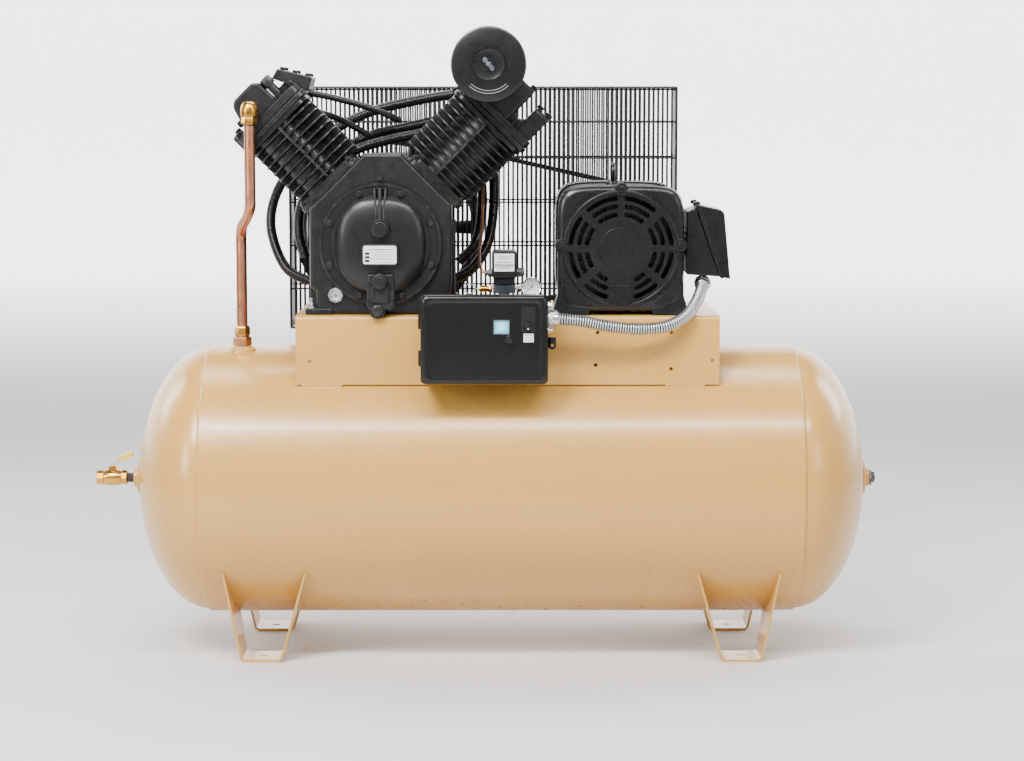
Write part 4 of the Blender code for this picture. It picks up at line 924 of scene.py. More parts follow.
def front_cover():
    x, y = CRANK.x, CASE_FRONT - 0.0003
    cover = Shape()
    cover.turned([
        (0, -0.01), (0.118, -0.01), (0.118, 0.0), (0.1335, 0.0), (0.136, 0.002), (0.136, 0.008),
        (0.1335, 0.0105), (0.1295, 0.0105), (0.1285, 0.0085), (0.112, 0.0085), (0.1095, 0.011),
        (0.107, 0.0115), (0.1, 0.0115), (0, 0.0115),
    ], (x, y, COVER_Z), (0, -1, 0), 128)
    cover.done("front_cover_skin", IRON, replaces=("front_cover",), angle=25)
    dome = Shape()
    loops = [squircle(x, COVER_Z, 0.0985, 0.106, 2.6, 96)]
    heights = [y - 0.010]
    for i in range(1, 14):
        t = i / 13
        size = math.cos(t * math.pi / 2) ** 0.55
        loops.append(squircle(x, COVER_Z, 0.0975 * size + 0.002, 0.105 * size + 0.002, 2.6 - 0.5 * t, 96))
        heights.append(y - 0.0115 - 0.0235 * math.sin(t * math.pi / 2) ** 0.9)
    dome.loft([[(a, h, b) for a, b in loop] for loop, h in zip(loops, heights)])
    dome.done("front_cover_dome", IRON, angle=50)
    ribs = Shape()
    for offset, width, lift in ((-0.0125, 0.0052, 0.0), (0.0, 0.0065, 0.004), (0.0125, 0.0052, 0.0)):
        top, bottom = COVER_Z + 0.124, COVER_Z + 0.048
        lean = offset * 0.55
        section = []
        for t, half in ((0.0, width), (1.0, width * 0.5)):
            cx = x + offset + (lean - offset) * t * 0.9
            cz = top + (bottom - top) * t
            back = y - 0.006 - 0.010 * t
            face = y - 0.022 - lift - 0.016 * t
            section.append([(cx - half, back, cz), (cx + half, back, cz), (cx + half * 0.55, face, cz),
                            (cx - half * 0.55, face, cz)])
        ribs.loft(section)
    ribs.done("front_cover_ribs", IRON, bevel=0.0022, segments=3)
    boss = Shape()
    boss.turned([(0, 0), (0.0245, 0), (0.0225, 0.012), (0.0205, 0.022), (0, 0.022)],
                (x, y - 0.025, 0.967), (0, -1, 0), 40)
    boss.turned([(0, 0.02), (0.0165, 0.02), (0.0178, 0.0215), (0.0178, 0.0265), (0.0160, 0.028),
                 (0, 0.028)], (x, y - 0.025, 0.967), (0, -1, 0), 8)
    boss.prism(rounded(x - 0.041, 0.886, x + 0.041, 0.934, 0.008), y - 0.045, y - 0.018)
    boss.done("front_cover_boss", IRON, bevel=0.0015)
    name_plate(x, y - 0.0452)
    bolts = Shape()
    for i in range(8):
        a = math.radians(22.5 + 45 * i)
        spot = (x + 0.1215 * math.cos(a), y - 0.0085, COVER_Z + 0.1215 * math.sin(a))
        bolts.bolt(spot, (0, -1, 0), 0.0066, 0.0062)
    bolts.bolt((x, y - 0.004, COVER_Z + 0.146), (0, -1, 0), 0.006, 0.01, washer=False)
    bolts.done("front_cover_bolts", IRON, bevel=0.0006)


def name_plate(x, y):
    """A blank rating plate: a pale field with ruled lines and no words."""
    plate = Shape()
    plate.prism(rounded(x - 0.0365, 0.8905, x + 0.0365, 0.9305, 0.004), y - 0.0012, y + 0.0004)
    plate.done("rating_plate", WHITE, bevel=0.0003)
    lines = Shape()
    for z in (0.9135, 0.9055, 0.8975):
        lines.box((x - 0.0325, y - 0.0016, z - 0.0026), (x - 0.0225, y - 0.001, z + 0.0026))
        for edge in (-0.0026, 0.0026):
            lines.box((x - 0.021, y - 0.0016, z + edge - 0.0003), (x + 0.032, y - 0.001, z + edge + 0.0003))
    lines.box((x - 0.027, y - 0.0016, 0.9215), (x + 0.027, y - 0.001, 0.9228))
    lines.done("rating_plate_lines", INK)
    studs = Shape()
    for side in (-1, 1):
        studs.turned([(0, 0), (0.0018, 0), (0.0012, 0.001), (0, 0.0013)],
                     (x + side * 0.0335, y - 0.001, 0.927), (0, -1, 0), 12)
    studs.done("rating_plate_rivets", STEEL)


def sight_and_plugs():
    x, y = CRANK.x, CASE_FRONT - 0.0005
    filler = Shape()
    filler.prism([(x - 0.027, 0.868), (x + 0.03, 0.868), (x + 0.034, 0.80), (x + 0.026, 0.79),
                  (x - 0.024, 0.79), (x - 0.03, 0.80)], y - 0.047, y - 0.004)
    filler.prism([(x - 0.021, 0.842), (x + 0.021, 0.842), (x + 0.021, 0.805), (x - 0.021, 0.805)],
                 y - 0.052, y - 0.045)
    filler.done("oil_filler_neck", IRON, bevel=0.004, segments=3)
    cap = Shape()
    face = high("oil_filler_cap").y
    z = middle("oil_filler_cap").z
    cap.turned([(0, 0.0), (0.0175, 0.0), (0.019, 0.0015), (0.019, 0.0105), (0.0165, 0.0145), (0, 0.0155)],
               (x, face, z), (0, -1, 0), 8)
    cap.turned([(0, 0.014), (0.012, 0.014), (0.011, 0.0158), (0, 0.0158)], (x, face, z), (0, -1, 0), 32)
    cap.done("oil_filler_cap_skin", PLASTIC, replaces=("oil_filler_cap",), bevel=0.001)
    drain = Shape()
    drain.turned([(0, 0), (0.019, 0), (0.0175, 0.012), (0, 0.012)],
                 (x - 0.006, y - 0.03, 0.7875), (0, -1, 0), 28)
    drain.bolt((x - 0.006, y - 0.042, 0.7875), (0, -1, 0), 0.0125, 0.008, washer=False)
    drain.done("oil_drain_plug", IRON, bevel=0.001)
    glass_x, glass_z = x - 0.1, 0.8185
    ring = Shape()
    ring.turned([(0, 0), (0.0165, 0), (0.0172, 0.001), (0.0172, 0.007), (0.0160, 0.0085),
                 (0.0105, 0.0085), (0.0095, 0.006), (0, 0.006)], (glass_x, y, glass_z), (0, -1, 0), 8)
    ring.done("oil_sight_ring", STEEL, bevel=0.0006)
    lens = Shape()
    lens.turned([(0, 0.0085), (0.007, 0.0078), (0.0094, 0.0062), (0, 0.0062)],
                (glass_x, y, glass_z), (0, -1, 0), 32)
    lens.done("oil_sight_lens", LENS)
    eye = Shape()
    eye.turned([(0, 0.0064), (0.0038, 0.0064), (0.0038, 0.0068), (0, 0.0068)],
               (glass_x, y, glass_z), (0, -1, 0), 24)
    eye.done("oil_sight_mark", DARK)


# ---- pump: cylinders and heads ------------------------------------------------------------------
# Half width of the fins, barrel radius, bore radius, top face, and number of fins.
CYLINDERS = {
    "second": (0.0885, 0.054, 0.046, 0.342, 8),
    "first": (0.0965, 0.072, 0.066, 0.350, 9),
}
FIN_OFFSET = 0.012  # the fins sit this far towards the inside of the V


def cylinders():
    """Barrels with square fin plates, tied by a rib along the middle of each face."""
    for key, (reach, barrel, bore, top, count) in CYLINDERS.items():
        base = DECKS[key] + 0.019
        body = Shape(slope_frame(key))
        body.turned([(bore, base), (barrel, base), (barrel, top - 0.002), (bore, top - 0.002)],
                    (0, 0, 0), (0, 0, 1), 64, closed=True)
        pitch = (top - 0.012 - base) / count
        for i in range(count):
            z = base + pitch * (i + 0.62)
            loops = []
            for lift, size in ((-0.0034, barrel + 0.001), (-0.0025, reach - 0.004),
                               (-0.0016, reach - 0.001), (0.0016, reach - 0.001),
                               (0.0025, reach - 0.004), (0.0034, barrel + 0.001)):
                power = 2.0 if size < barrel + 0.002 else 4.6
                offset = 0.0 if size < barrel + 0.002 else FIN_OFFSET
                points = squircle(offset, 0, size, size, power, 88)
                loops.append([(a, b, z + lift) for a, b in points])
            inner = [[(a, b, h) for a, b in circle(0, 0, barrel - 0.003, 88)]
                     for h in (z + 0.003, z - 0.003)]
            body.loft(loops + inner, closed=True)
        cylinder_ribs(body, barrel, reach, base + 0.002, top - 0.004)
        body.done(f"cylinder_{key}_skin", IRON, replaces=(f"cylinder_{key}",), angle=40)
        joint = Shape(slope_frame(key))
        wide = reach + 0.003
        plate = rounded(FIN_OFFSET - wide, -wide, FIN_OFFSET + wide, wide, 0.03)
        joint.pierced(plate, [circle(0, 0, bore, 48)], top - 0.010, top - 0.0006, "Z")
        joint.done(f"valve_plate_{key}", BLACK, bevel=0.0014)


def cylinder_ribs(body, barrel, reach, start, end):
    for a in range(4):
        rib = Matrix.Rotation(math.tau * a / 4, 4, "Z")
        shift = FIN_OFFSET if a in (0, 2) else 0.0
        sway = 0.0 if a in (0, 2) else FIN_OFFSET * (1 if a == 1 else -1)
        tip = reach - 0.001 + (shift if a == 0 else -shift)
        section = [(-0.0034, barrel - 0.004), (0.0034, barrel - 0.004), (0.0026, tip),
                   (0, tip + 0.0006), (-0.0026, tip)]
        turned = Matrix.Rotation(-math.pi / 2, 4, "Z") @ rib
        loops = [[turned @ Vector((p[0] + sway, p[1], s)) for p in section] for s in (start, end)]
        body.loft(loops)


def head_second():
    """The small second stage head: two layers, a tilted box and the outlet chamber."""
    top = CYLINDERS["second"][3]
    head = Shape(slope_frame("second"))
    head.prism(rounded(-0.078, -0.09, 0.112, 0.086, 0.024), top + 0.0004, top + 0.014, "Z")
    head.prism(rounded(-0.075, -0.087, 0.109, 0.083, 0.022), top + 0.0145, top + 0.034, "Z")
    head.done("head_second_skin", IRON, replaces=("head_second",), bevel=0.0024, segments=3)
    chamber = Shape(slope_frame("second"))
    outline = [(-0.040, top + 0.03), (-0.038, top + 0.062), (-0.030, top + 0.090), (-0.018, top + 0.101),
               (0.038, top + 0.101), (0.050, top + 0.090), (0.052, top + 0.03)]
    chamber.prism(outline, -0.074, 0.06)
    chamber.prism(rounded(-0.080, -0.066, -0.052, 0.06, 0.006), top + 0.001, top + 0.045, "Z")
    chamber.done("head_second_chamber", IRON, bevel=0.007, segments=4, angle=30)
    box = Shape()
    box.prism([(-0.509, 1.295), (-0.497, 1.317), (-0.419, 1.298), (-0.428, 1.268)], -0.115, 0.02)
    box.done("head_second_box", IRON, bevel=0.003, segments=3)
    neck = Shape(slope_frame("second"))
    neck.prism(rounded(0.056, -0.05, 0.100, 0.05, 0.006), top + 0.03, top + 0.052, "Z")
    neck.turned([(0, 0), (0.0145, 0), (0.0145, 0.018), (0.0115, 0.022), (0, 0.022)],
                (0.064, -0.06, top + 0.068), (0, 0, 1), 6)
    neck.rod((0.064, -0.06, top + 0.03), (0.064, -0.06, top + 0.07), 0.0095, 20)
    neck.done("head_second_neck", IRON, bevel=0.0014)
    bolts = Shape(slope_frame("second"))
    for u in (-0.064, 0.062, 0.098):
        for v in (-0.077, 0.074):
            bolts.bolt((u, v, top + 0.034), (0, 0, 1), 0.0072, 0.009)
    bolts.bolt((-0.064, 0.0, top + 0.045), (0, 0, 1), 0.0072, 0.009)
    for v in (-0.05, 0.03):
        bolts.bolt((-0.040, v, top + 0.055), (-1, 0, 0.15), 0.0075, 0.009)
    bolts.done("head_second_bolts", BLACK, bevel=0.0006)
    lids = Shape()
    lean = Vector((0.25, 0, 0.97))
    for x, z in ((-0.487, 1.3135), (-0.459, 1.3065), (-0.431, 1.3)):
        for y in (-0.098, 0.0):
            lids.bolt((x, y, z), lean, 0.0058, 0.006)
    lids.done("head_second_box_bolts", BLACK, bevel=0.0005)


def head_first():
    """The large first stage head: two layers, a tall block and an end block with a valley between."""
    top = CYLINDERS["first"][3]
    head = Shape(slope_frame("first"))
    head.prism(rounded(-0.092, -0.0896, 0.105, 0.0895, 0.016), top + 0.0004, top + 0.013, "Z")
    head.prism(rounded(-0.089, -0.087, 0.102, 0.087, 0.014), top + 0.0135, top + 0.03, "Z")
    head.done("head_first_skin", IRON, replaces=("head_first",), bevel=0.0024, segments=3)
    blocks = Shape(slope_frame("first"))
    blocks.stack(rounded(-0.017, -0.080, 0.092, 0.078, 0.010), (0.037, 0), [
        (top + 0.026, 1.0), (top + 0.108, 0.985), (top + 0.119, 0.95)], "Z")
    blocks.stack(rounded(-0.083, -0.079, -0.044, 0.078, 0.007), (-0.063, 0), [
        (top + 0.026, 1.0), (top + 0.09, 0.97), (top + 0.098, 0.9)], "Z")
    valley = [(-0.05, top + 0.026), (-0.05, top + 0.072), (-0.040, top + 0.055), (-0.029, top + 0.050),
              (-0.020, top + 0.056), (-0.012, top + 0.078), (-0.012, top + 0.026)]
    blocks.prism(valley, -0.074, 0.074)
    blocks.done("head_first_blocks", IRON, bevel=0.0035, segments=3, angle=30)
    bolts = Shape(slope_frame("first"))
    for u in (-0.03, 0.098):
        for v in (-0.078, 0.078):
            bolts.bolt((u, v, top + 0.03), (0, 0, 1), 0.0072, 0.009)
    for u, lift in ((-0.076, 0.098), (-0.050, 0.098), (-0.008, 0.119), (0.07, 0.119)):
        for v in (-0.062, 0.0, 0.062):
            bolts.bolt((u, v, top + lift), (0, 0, 1), 0.0066, 0.008)
    bolts.done("head_first_bolts", BLACK, bevel=0.0006)


def pistons():
    for key in SIDES:
        for node, mat in ((f"piston_{key}", ALLOY), (f"rod_{key}", TURNED)):
            refine(node, mat, f"{key}_piston", bevel=0.0008)


# ---- intake filter ------------------------------------------------------------------------------
def intake_filter():
    c = middle("filter_cover")
    front, back = low("filter_cover").y + 0.0105, -0.112
    radius = (high("filter_cover").x - low("filter_cover").x) / 2
    cover = Shape()
    cover.turned([
        (0, -0.008), (radius - 0.002, -0.008), (radius, -0.006), (radius, -0.001),
        (radius - 0.0015, 0.0022), (radius - 0.005, 0.0038), (0.0395, 0.0042), (0.0378, 0.0068),
        (0.0352, 0.0068), (0.0336, 0.0044), (0.0325, 0.0038), (0.016, 0.0036), (0.0135, 0.0058),
        (0.006, 0.0062), (0, 0.0062),
    ], (c.x, front, c.z), (0, -1, 0), 128)
    cover.done("filter_cover_skin", BLACK, replaces=("filter_cover",), angle=30)
    rings = Shape()
    for r in (0.0575, 0.0635):
        outline = arc(c.x, c.z, r + 0.0005, 228, 312, 24) + arc(c.x, c.z, r - 0.0005, 312, 228, 24)
        rings.prism(outline, front - 0.0042, front - 0.0036)
    rings.done("filter_cover_ruled_lines", GREY)
    wing = Shape()
    wing.turned([(0, 0.006), (0.0065, 0.006), (0.006, 0.012), (0.0042, 0.014), (0, 0.0145)],
                (c.x, front + 0.004, c.z), (0, -1, 0), 20)
    for side in (-1, 1):
        blade = [(0.003, -0.0025), (0.012, -0.0055), (0.017, -0.0035), (0.0175, 0.002),
                 (0.012, 0.0055), (0.004, 0.003)]
        turn = math.radians(-50 if side < 0 else 130)
        points = [(c.x + a * math.cos(turn) - b * math.sin(turn),
                   c.z + a * math.sin(turn) + b * math.cos(turn)) for a, b in blade]
        wing.prism(points, front - 0.0085, front - 0.0055)
    wing.done("filter_wing_nut", GREY_METAL, bevel=0.0006)
    side_wall = Shape()
    depth = back - front
    inner = radius - 0.0075
    profile = [(inner - 0.003, 0.003)]
    count = 15
    for i in range(count):
        h = 0.003 + (depth - 0.012) * i / count
        profile += [(inner, h), (inner + 0.0042, h + 0.0008), (inner + 0.0042, h + 0.0026),
                    (inner, h + 0.0034)]
    profile += [(inner + 0.002, depth - 0.006), (inner + 0.0035, depth - 0.003), (inner - 0.004, depth),
                (inner - 0.02, depth), (inner - 0.02, depth - 0.002), (inner - 0.003, depth - 0.004)]
    side_wall.turned(profile, (c.x, front + 0.0078, c.z), (0, 1, 0), 96, closed=True)
    side_wall.turned([(0, depth - 0.0035), (inner - 0.012, depth - 0.0035), (inner - 0.012, depth),
                      (0, depth)], (c.x, front + 0.0078, c.z), (0, 1, 0), 64)
    side_wall.rod((-0.04, back - 0.002, 1.275), (-0.04, -0.094, 1.275), 0.03, 40)
    side_wall.done("filter_body_skin", BLACK, replaces=("filter_body",), angle=30)
    pleats = Shape()
    teeth = 60
    loop = []
    for i in range(teeth * 2):
        a = math.tau * i / (teeth * 2)
        r = 0.0615 if i % 2 else 0.055
        loop.append((c.x + r * math.cos(a), c.z + r * math.sin(a)))
    pleats.prism(loop, front + 0.014, back - 0.007)
    pleats.done("filter_element_skin", PAPER, replaces=("filter_element",))


# ---- intercooler --------------------------------------------------------------------------------
INTERCOOLER = {
    "intercooler_outer": [
        (-0.09, 0.075, 1.263), (-0.19, 0.10, 1.247), (-0.295, 0.11, 1.222), (-0.38, 0.12, 1.182),
        (-0.45, 0.125, 1.128), (-0.51, 0.13, 1.055), (-0.535, 0.13, 0.985), (-0.53, 0.135, 0.92),
        (-0.5, 0.14, 0.855), (-0.45, 0.15, 0.825),
    ],
    "intercooler_inner": [
        (-0.12, 0.085, 1.208), (-0.21, 0.095, 1.186), (-0.3, 0.095, 1.166), (-0.375, 0.095, 1.125),
        (-0.43, 0.095, 1.07), (-0.463, 0.095, 1.0), (-0.468, 0.1, 0.94), (-0.455, 0.11, 0.885),
    ],
}


def finned_tube(name, route, replaces=()):
    """A tube wound with a low, close fin."""
    step = 0.0011
    path = even_route(route, step)
    radii = []
    for i in range(len(path)):
        phase = (i * step / 0.0044) % 1.0
        radii.append(0.0122 if phase < 0.5 else 0.0108)
    tube = Shape()
    tube.sweep(path, radii, 16)
    tube.done(name, BLACK, replaces=replaces, angle=60)


COOLER_LOOPS = {
    "cooler_low_run": [(-0.13, 0.085, 1.185), (-0.1825, 0.06, 1.172), (-0.25, 0.05, 1.158),
                       (-0.3225, 0.05, 1.138), (-0.37, 0.06, 1.105), (-0.40, 0.07, 1.05),
                       (-0.44, 0.085, 1.0)],
    "cooler_right_outer": [(-0.03, 0.10, 1.14), (-0.018, 0.115, 1.07), (-0.020, 0.12, 0.98),
                           (-0.034, 0.12, 0.91), (-0.07, 0.125, 0.855), (-0.125, 0.14, 0.825)],
    "cooler_right_inner": [(-0.07, 0.10, 1.12), (-0.046, 0.115, 1.05), (-0.047, 0.12, 0.975),
                           (-0.062, 0.12, 0.915), (-0.10, 0.125, 0.872)],
}
THIN_LINES = [
    [(-0.4465, 0.0, 1.2655), (-0.38, 0.02, 1.252), (-0.2973, 0.03, 1.229), (-0.23, 0.05, 1.2)],
    [(-0.43, 0.0, 1.2235), (-0.40, 0.0, 1.216), (-0.36, 0.03, 1.20), (-0.30, 0.06, 1.165)],
]


def intercooler():
    for node, route in INTERCOOLER.items():
        finned_tube(node + "_skin", route, (node,))
    for name, route in COOLER_LOOPS.items():
        finned_tube(name, route)
    lines = Shape()
    for route in THIN_LINES:
        lines.sweep(smooth_route(route, 8), 0.0075, 16)
        away = (Vector(route[1]) - Vector(route[0])).normalized()
        lines.turned([(0, -0.01), (0.0125, -0.01), (0.0125, 0.012), (0.010, 0.016), (0, 0.016)],
                     route[0], away, 6)
    lines.done("cooler_small_lines", BLACK, bevel=0.0006)
    unions = Shape()
    for route in INTERCOOLER.values():
        start, after = Vector(route[0]), Vector(route[1])
        away = (after - start).normalized()
        unions.turned([(0, -0.012), (0.0175, -0.012), (0.0175, 0.012), (0.014, 0.02), (0, 0.02)],
                      start, away, 6)
    unions.done("intercooler_unions", BLACK, bevel=0.0008)


# ---- drive --------------------------------------------------------------------------------------
def grooves(radius):
    """The two belt grooves in a wheel's rim, as (radius, height) pairs."""
    return [(radius - deep, station + edge) for station in (0.014, -0.014)
            for deep, edge in ((0, 0.0095), (0.009, 0.0065), (0.009, -0.0065), (0, -0.0095))]


def drive():
    wheel_r = (high("flywheel").x - low("flywheel").x) / 2
    half = (high("flywheel").y - low("flywheel").y) / 2
    wheel = Shape()
    rim = [(wheel_r, half)]
    rim += grooves(wheel_r)
    rim += [(wheel_r, -half), (wheel_r - 0.022, -half), (wheel_r - 0.026, -half + 0.006),
            (wheel_r - 0.026, half - 0.006), (wheel_r - 0.022, half)]
    wheel.turned(rim, CRANK, (0, 1, 0), 128, closed=True)
    wheel.turned([(0.0224, -0.034), (0.042, -0.034), (0.046, -0.03), (0.046, 0.03), (0.042, 0.034),
                  (0.0224, 0.034)], CRANK, (0, 1, 0), 64, closed=True)
    for i in range(5):
        turn = Matrix.Translation(CRANK) @ Matrix.Rotation(math.tau * i / 5, 4, "Y")
        blade = []
        for t in range(7):
            r = 0.038 + (wheel_r - 0.056) * t / 6
            pitch = math.radians(12 + 26 * t / 6)
            wide, thick = 0.020 + 0.006 * t / 6, 0.0065
            loop = []
            for k in range(16):
                a = math.tau * k / 16
                u, v = wide * math.cos(a), thick * math.sin(a)
                loop.append(turn @ Vector((r, u * math.cos(pitch) - v * math.sin(pitch),
                                           u * math.sin(pitch) + v * math.cos(pitch))))
            blade.append(loop)
        wheel.loft(blade)
    wheel.done("flywheel_skin", IRON, "crank", ("flywheel",), bevel=0.0012)
    cap = Shape()
    cap.bolt((CRANK.x, CRANK.y + 0.0455, CRANK.z), (0, 1, 0), 0.012, 0.011)
    cap.done("flywheel_bolt", STEEL, "crank", bevel=0.0008)
    pulley_r = (high("motor_pulley").x - low("motor_pulley").x) / 2
    pulley = Shape()
    rim = [(0.0196, half), (0.05, half), (0.055, half - 0.012), (pulley_r - 0.022, half - 0.012),
           (pulley_r - 0.018, half), (pulley_r, half)]
    rim += grooves(pulley_r)
    rim += [(pulley_r, -half), (0.0196, -half)]
    pulley.turned(rim, MOTOR, (0, 1, 0), 96, closed=True)
    pulley.done("motor_pulley_skin", IRON, "rotor", ("motor_pulley",), bevel=0.0008)
    screws = Shape()
    for i in range(3):
        a = math.tau * i / 3 + 0.4
        screws.bolt((MOTOR.x + 0.034 * math.cos(a), MOTOR.y + half, MOTOR.z + 0.034 * math.sin(a)),
                    (0, 1, 0), 0.0055, 0.005)
    screws.done("pulley_bushing_screws", STEEL, "rotor", bevel=0.0004)
    belts(wheel_r, pulley_r)
    refine("crankshaft", TURNED, "crank", bevel=0.0008)
    refine("rear_bearing_cover", IRON, bevel=0.001)


def belts(wheel_r, pulley_r):
    run = Vector((MOTOR.x - CRANK.x, MOTOR.z - CRANK.z))
    lean = math.degrees(math.atan2(run.y, run.x))
    for name, offset in (("drive_belt_front", -0.014), ("drive_belt_rear", 0.014)):
        y = CRANK.y + offset
        loops = []
        for lift, wide in ((0.0025, 0.0045), (0.0128, 0.0062)):
            big, small = wheel_r - 0.009 + lift, pulley_r - 0.009 + lift
            swing = math.degrees(math.acos((big - small) / run.length))
            outline = arc(CRANK.x, CRANK.z, big, lean + swing, lean + 360 - swing, 72)
            outline += arc(MOTOR.x, MOTOR.z, small, lean - swing, lean + swing, 40)
            loops.append((outline, wide))
        (inner, narrow), (outer, wide) = loops
        belt = Shape()
        belt.loft([
            [(a, y - narrow, b) for a, b in inner], [(a, y - wide, b) for a, b in outer],
            [(a, y + wide, b) for a, b in outer], [(a, y + narrow, b) for a, b in inner],
        ], closed=True)
        belt.done(name + "_skin", RUBBER, replaces=(name,))


# ---- belt guard ---------------------------------------------------------------------------------
WIRE_R = 0.0022
WIRE_COUNT = 83
RUNGS = (1.271, 1.195, 1.111, 1.007, 0.905, 0.803)
SHAFTS = ((CRANK, 0.056), (MOTOR, 0.045))  # holes in the front grille: where, and their radius


def guard():
    left, right = low("guard_rim").x + 0.001, high("guard_rim").x - 0.001
    bottom, top = low("guard_rim").z + 0.001, high("guard_rim").z - 0.001
    front, back = middle("guard_front").y, high("guard_rear").y - 0.0032
    inset = 0.003
    for name, y, shafts in (("guard_front", front, SHAFTS), ("guard_rear", back, ())):
        grille = Shape()
        for i in range(1, WIRE_COUNT):
            x = left + inset + (right - left - 2 * inset) * i / WIRE_COUNT
            for z0, z1 in spans(x, bottom + inset, top - inset, shafts, 0, 2):
                grille.rod((x, y, z0), (x, y, z1), WIRE_R, 6)
        offset = WIRE_R * 1.6 * (1 if shafts else -1)
        for z in RUNGS:
            for x0, x1 in spans(z, left + inset, right - inset, shafts, 2, 0):
                grille.rod((x0, y + offset, z), (x1, y + offset, z), WIRE_R, 6)
        corners = [(left + inset, bottom + inset), (right - inset, bottom + inset),
                   (right - inset, top - inset), (left + inset, top - inset)]
        for a, b in zip(corners, corners[1:] + corners[:1]):
            grille.rod((a[0], y, a[1]), (b[0], y, b[1]), 0.0029, 10)
        for spot, r in shafts:
            grille.torus((spot.x, y, spot.z), (0, 1, 0), r, 0.0028, 48, 8)
        grille.done(name + "_skin", WIRE, replaces=(name,))
    guard_rim(left, right, bottom, top, front, back)


def guard_rim(left, right, bottom, top, front, back):
    """Sheet ends, and a wire top and bottom, between the two grilles."""
    rim = Shape()
    for x in (left + 0.0008, right - 0.0032):
        rim.box((x, front, bottom + 0.004), (x + 0.0024, back, top - 0.004))
    count = int((right - left) / 0.0215)
    for z in (bottom + 0.003, top - 0.003):
        for i in range(count + 1):
            x = left + 0.003 + (right - left - 0.006) * i / count
            rim.rod((x, front, z), (x, back, z), WIRE_R, 6)
        rim.rod((left + 0.003, (front + back) / 2, z), (right - 0.003, (front + back) / 2, z), WIRE_R, 6)
    rim.done("guard_rim_skin", WIRE, replaces=("guard_rim",))
    brackets = Shape()
    for x in (-0.3, 0.1, 0.36):
        brackets.box((x - 0.012, 0.2005, 0.735), (x + 0.012, 0.2035, 0.765))
        brackets.box((x - 0.012, 0.2, 0.762), (x + 0.012, front + 0.002, 0.765))
    brackets.done("guard_brackets", BLACK, bevel=0.0006)


def spans(level, start, end, shafts, level_axis, run_axis):
    """A wire's stretches, broken where a shaft passes. The axes are 0 for X and 2 for Z."""
    found = [(start, end)]
    for spot, r in shafts:
        off = level - spot[level_axis]
        if abs(off) < r:
            half = math.sqrt(r * r - off**2)
            last = found.pop()
            found += [(last[0], spot[run_axis] - half), (spot[run_axis] + half, last[1])]
    return found


# ---- motor --------------------------------------------------------------------------------------
def motor():
    x, z = MOTOR.x, MOTOR.z
    front, mid_front = low("motor_bell_front").y, high("motor_bell_front").y
    mid_back, back = low("motor_bell_rear").y, high("motor_bell_rear").y
    half = (high("motor_bell_front").x - low("motor_bell_front").x) / 2
    body = Shape()
    outline = bell_outline(x, z, half, 0.008)
    body.stack(outline, (x, z), [(mid_front + 0.0004, 1.0), (mid_back - 0.0004, 1.0)])
    for i in range(7):
        y = mid_front + 0.02 + (mid_back - mid_front - 0.04) * i / 6
        body.stack(outline, (x, z), [(y - 0.004, 1.0), (y - 0.003, 1.018), (y + 0.003, 1.018),
                                     (y + 0.004, 1.0)])
    for side in (-1, 1):
        x0, x1 = sorted((x + side * 0.07, x + side * 0.137))
        body.box((x0, mid_front + 0.01, BASE), (x1, mid_back - 0.01, BASE + 0.012))
        body.box((x + side * 0.088 - 0.02, mid_front + 0.02, BASE),
                 (x + side * 0.088 + 0.02, mid_back - 0.02, BASE + 0.06))
    body.done("motor_frame_skin", BLACK, replaces=("motor_frame",), bevel=0.002)
    front_bell(x, z, front, mid_front, half)
    rear_bell(x, z, mid_back, back, half)
    eye = Shape()
    top = z + half - 0.006
    eye.turned([(0, 0), (0.017, 0), (0.015, 0.008), (0.008, 0.014), (0, 0.014)],
               (x - 0.012, -0.03, top - 0.002), (0, 0, 1), 24)
    eye.torus((x - 0.012, -0.03, top + 0.03), (1, 0, 0), 0.0165, 0.0055, 36, 12)
    eye.done("motor_lifting_eye", BLACK)
    refine("motor_rotor", TURNED, "rotor", bevel=0.0008)
    fan = Shape()
    for i in range(9):
        turn = Matrix.Translation((x, front + 0.035, z)) @ Matrix.Rotation(math.tau * i / 9, 4, "Y")
        fan.loft([[turn @ Vector(p) for p in loop] for loop in (
            [(0.03, -0.014, -0.002), (0.03, 0.014, -0.002), (0.03, 0.014, 0.002), (0.03, -0.014, 0.002)],
            [(0.1, -0.014, -0.002), (0.1, 0.014, -0.002), (0.1, 0.014, 0.002), (0.1, -0.014, 0.002)])])
    fan.turned([(0.0195, 0.012), (0.034, 0.012), (0.034, -0.018), (0.0195, -0.018)],
               (x, front + 0.035, z), (0, 1, 0), 32, closed=True)
    fan.turned([(0.0195, 0.018), (0.102, 0.018), (0.102, 0.0155), (0.0195, 0.0155)],
               (x, front + 0.035, z), (0, 1, 0), 48, closed=True)
    fan.done("motor_fan", BLACK, "rotor")


def motor_ring(shape, x, z, inner, outer, y0, y1, steps=96):
    shape.turned([(inner, 0), (outer, 0), (outer, y1 - y0), (inner, y1 - y0)],
                 (x, y0, z), (0, 1, 0), steps, closed=True)


VENT_RINGS = ((0.0699, 0.0805), (0.0875, 0.0981), (0.1056, 0.1162))
# Angle of each spoke and half its width; the wide one is the block at the bottom.
SPOKES = ((0, 0.0075), (43, 0.0085), (90, 0.0080), (137, 0.0085), (180, 0.0075), (220, 0.0085),
          (270, 0.0290), (320, 0.0085))


